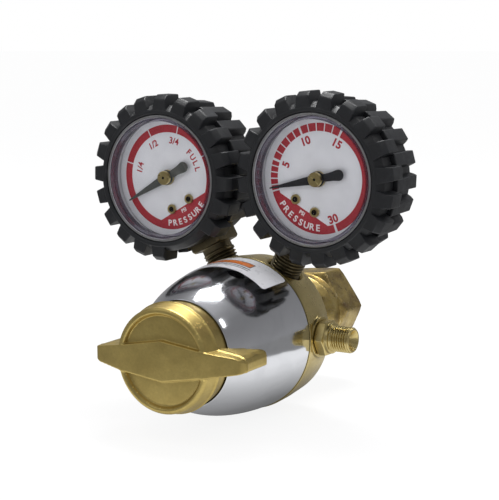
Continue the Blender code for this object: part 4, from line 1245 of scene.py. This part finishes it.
def floor_look():
    """A pale sheet. The camera sees it almost white; reflections see how far it reaches, and a painted
    shadow under the object.
    """
    look = Look("floor", (0.9, 0.9, 0.9), 0.6)
    look.paint(look.drift(300.0, 2.0, (0.90, 0.90, 0.90), (0.88, 0.88, 0.88)))

    def length(vector):
        return look.node("ShaderNodeVectorMath", {0: vector}, operation="LENGTH").outputs["Value"]

    def rings(distance, stops):
        """Grey by distance in metres."""
        reach = 0.2
        share = look.math("DIVIDE", distance, reach)
        return look.ramp(share, [(radius / reach, (grey, grey, grey)) for radius, grey in stops])

    wander = look.span(look.noise(40.0, 2.0), 0.3, 0.7, -0.006, 0.006)
    sheet = rings(look.math("ADD", length(look.place), wander),
                  [(0.0, 0.95), (0.116, 0.95), (0.122, 0.25), (0.190, 0.25)])
    narrowed = look.node("ShaderNodeVectorMath", {0: look.place, 1: (1.0, 0.55, 0.0)},
                         operation="MULTIPLY").outputs["Vector"]
    # Painted shadow: for reflections the sheet darkens under the object, in an ellipse stretched along the
    # main axis.
    shade = rings(length(narrowed),
                  [(0.0, 0.08), (0.018, 0.22), (0.034, 0.55), (0.050, 0.85), (0.068, 1.0)])
    sheet = look.mix(1.0, sheet, shade, "MULTIPLY")
    mirrored = look.node("ShaderNodeEmission", {"Color": sheet}).outputs["Emission"]
    white = look.node("ShaderNodeEmission", {"Color": WHITE}).outputs["Emission"]
    path = look.node("ShaderNodeLightPath").outputs
    lit = look.mixed_shader(path["Is Glossy Ray"], look.shader.outputs["BSDF"], mirrored)
    look.set_surface(look.mixed_shader(look.times(path["Is Camera Ray"], 0.88), lit, white))
    return look


def build_floor():
    bm = bmesh.new()
    bmesh.ops.create_grid(bm, x_segments=2, y_segments=2, size=12.0)
    floor = linked("floor", mesh_of("floor", bm))
    floor.data.materials.append(floor_look().material)
    floor.location.z = CAD_BOX[0].z - FLOOR_GAP


def build_camera():
    back = seen_from(CAMERA_AZIMUTH, CAMERA_ELEVATION)
    roll = math.radians(CAMERA_ROLL)
    level = Vector((0, 0, 1)).cross(back).normalized()
    top = back.cross(level)
    right = level * math.cos(roll) + top * math.sin(roll)
    upward = top * math.cos(roll) - level * math.sin(roll)
    data = bpy.data.cameras.new("camera")
    data.lens = CAMERA_LENS
    data.sensor_width = 36.0
    data.clip_start, data.clip_end = 0.01, 50.0
    camera = linked("camera", data)
    shift = right * CAMERA_SHIFT[0] + upward * CAMERA_SHIFT[1]
    place = AXIS_PLACE + (back * CAMERA_DISTANCE + shift) * MM
    camera.matrix_world = Matrix.Translation(place) @ Matrix((right, upward, back)).transposed().to_4x4()
    bpy.context.scene.camera = camera


def build():
    build_body()
    build_bonnet()
    build_label()
    build_knob()
    build_inlet()
    build_outlet()
    for gauge in GAUGES:
        build_socket(gauge)
        build_case(gauge)
        build_boot(gauge)
        build_lens(gauge)
        build_dial(gauge)
    build_prints()
    build_pointer("contents", "pointer_grey")
    build_pointer("delivery", "pointer_black")
    build_spring("adjusting_spring", 9.0, 1.1, 20.4, 35.1, active=4)
    build_spring("valve_spring", 3.65, 0.3, -16.65, -6.65, active=6)
    build_diaphragm()
    dress_inside_nodes()
    build_world()
    for name, settings in SOFTBOXES.items():
        softbox(name, *settings)
    build_floor()
    build_camera()
    bpy.context.scene.view_settings.view_transform = "Standard"


build()
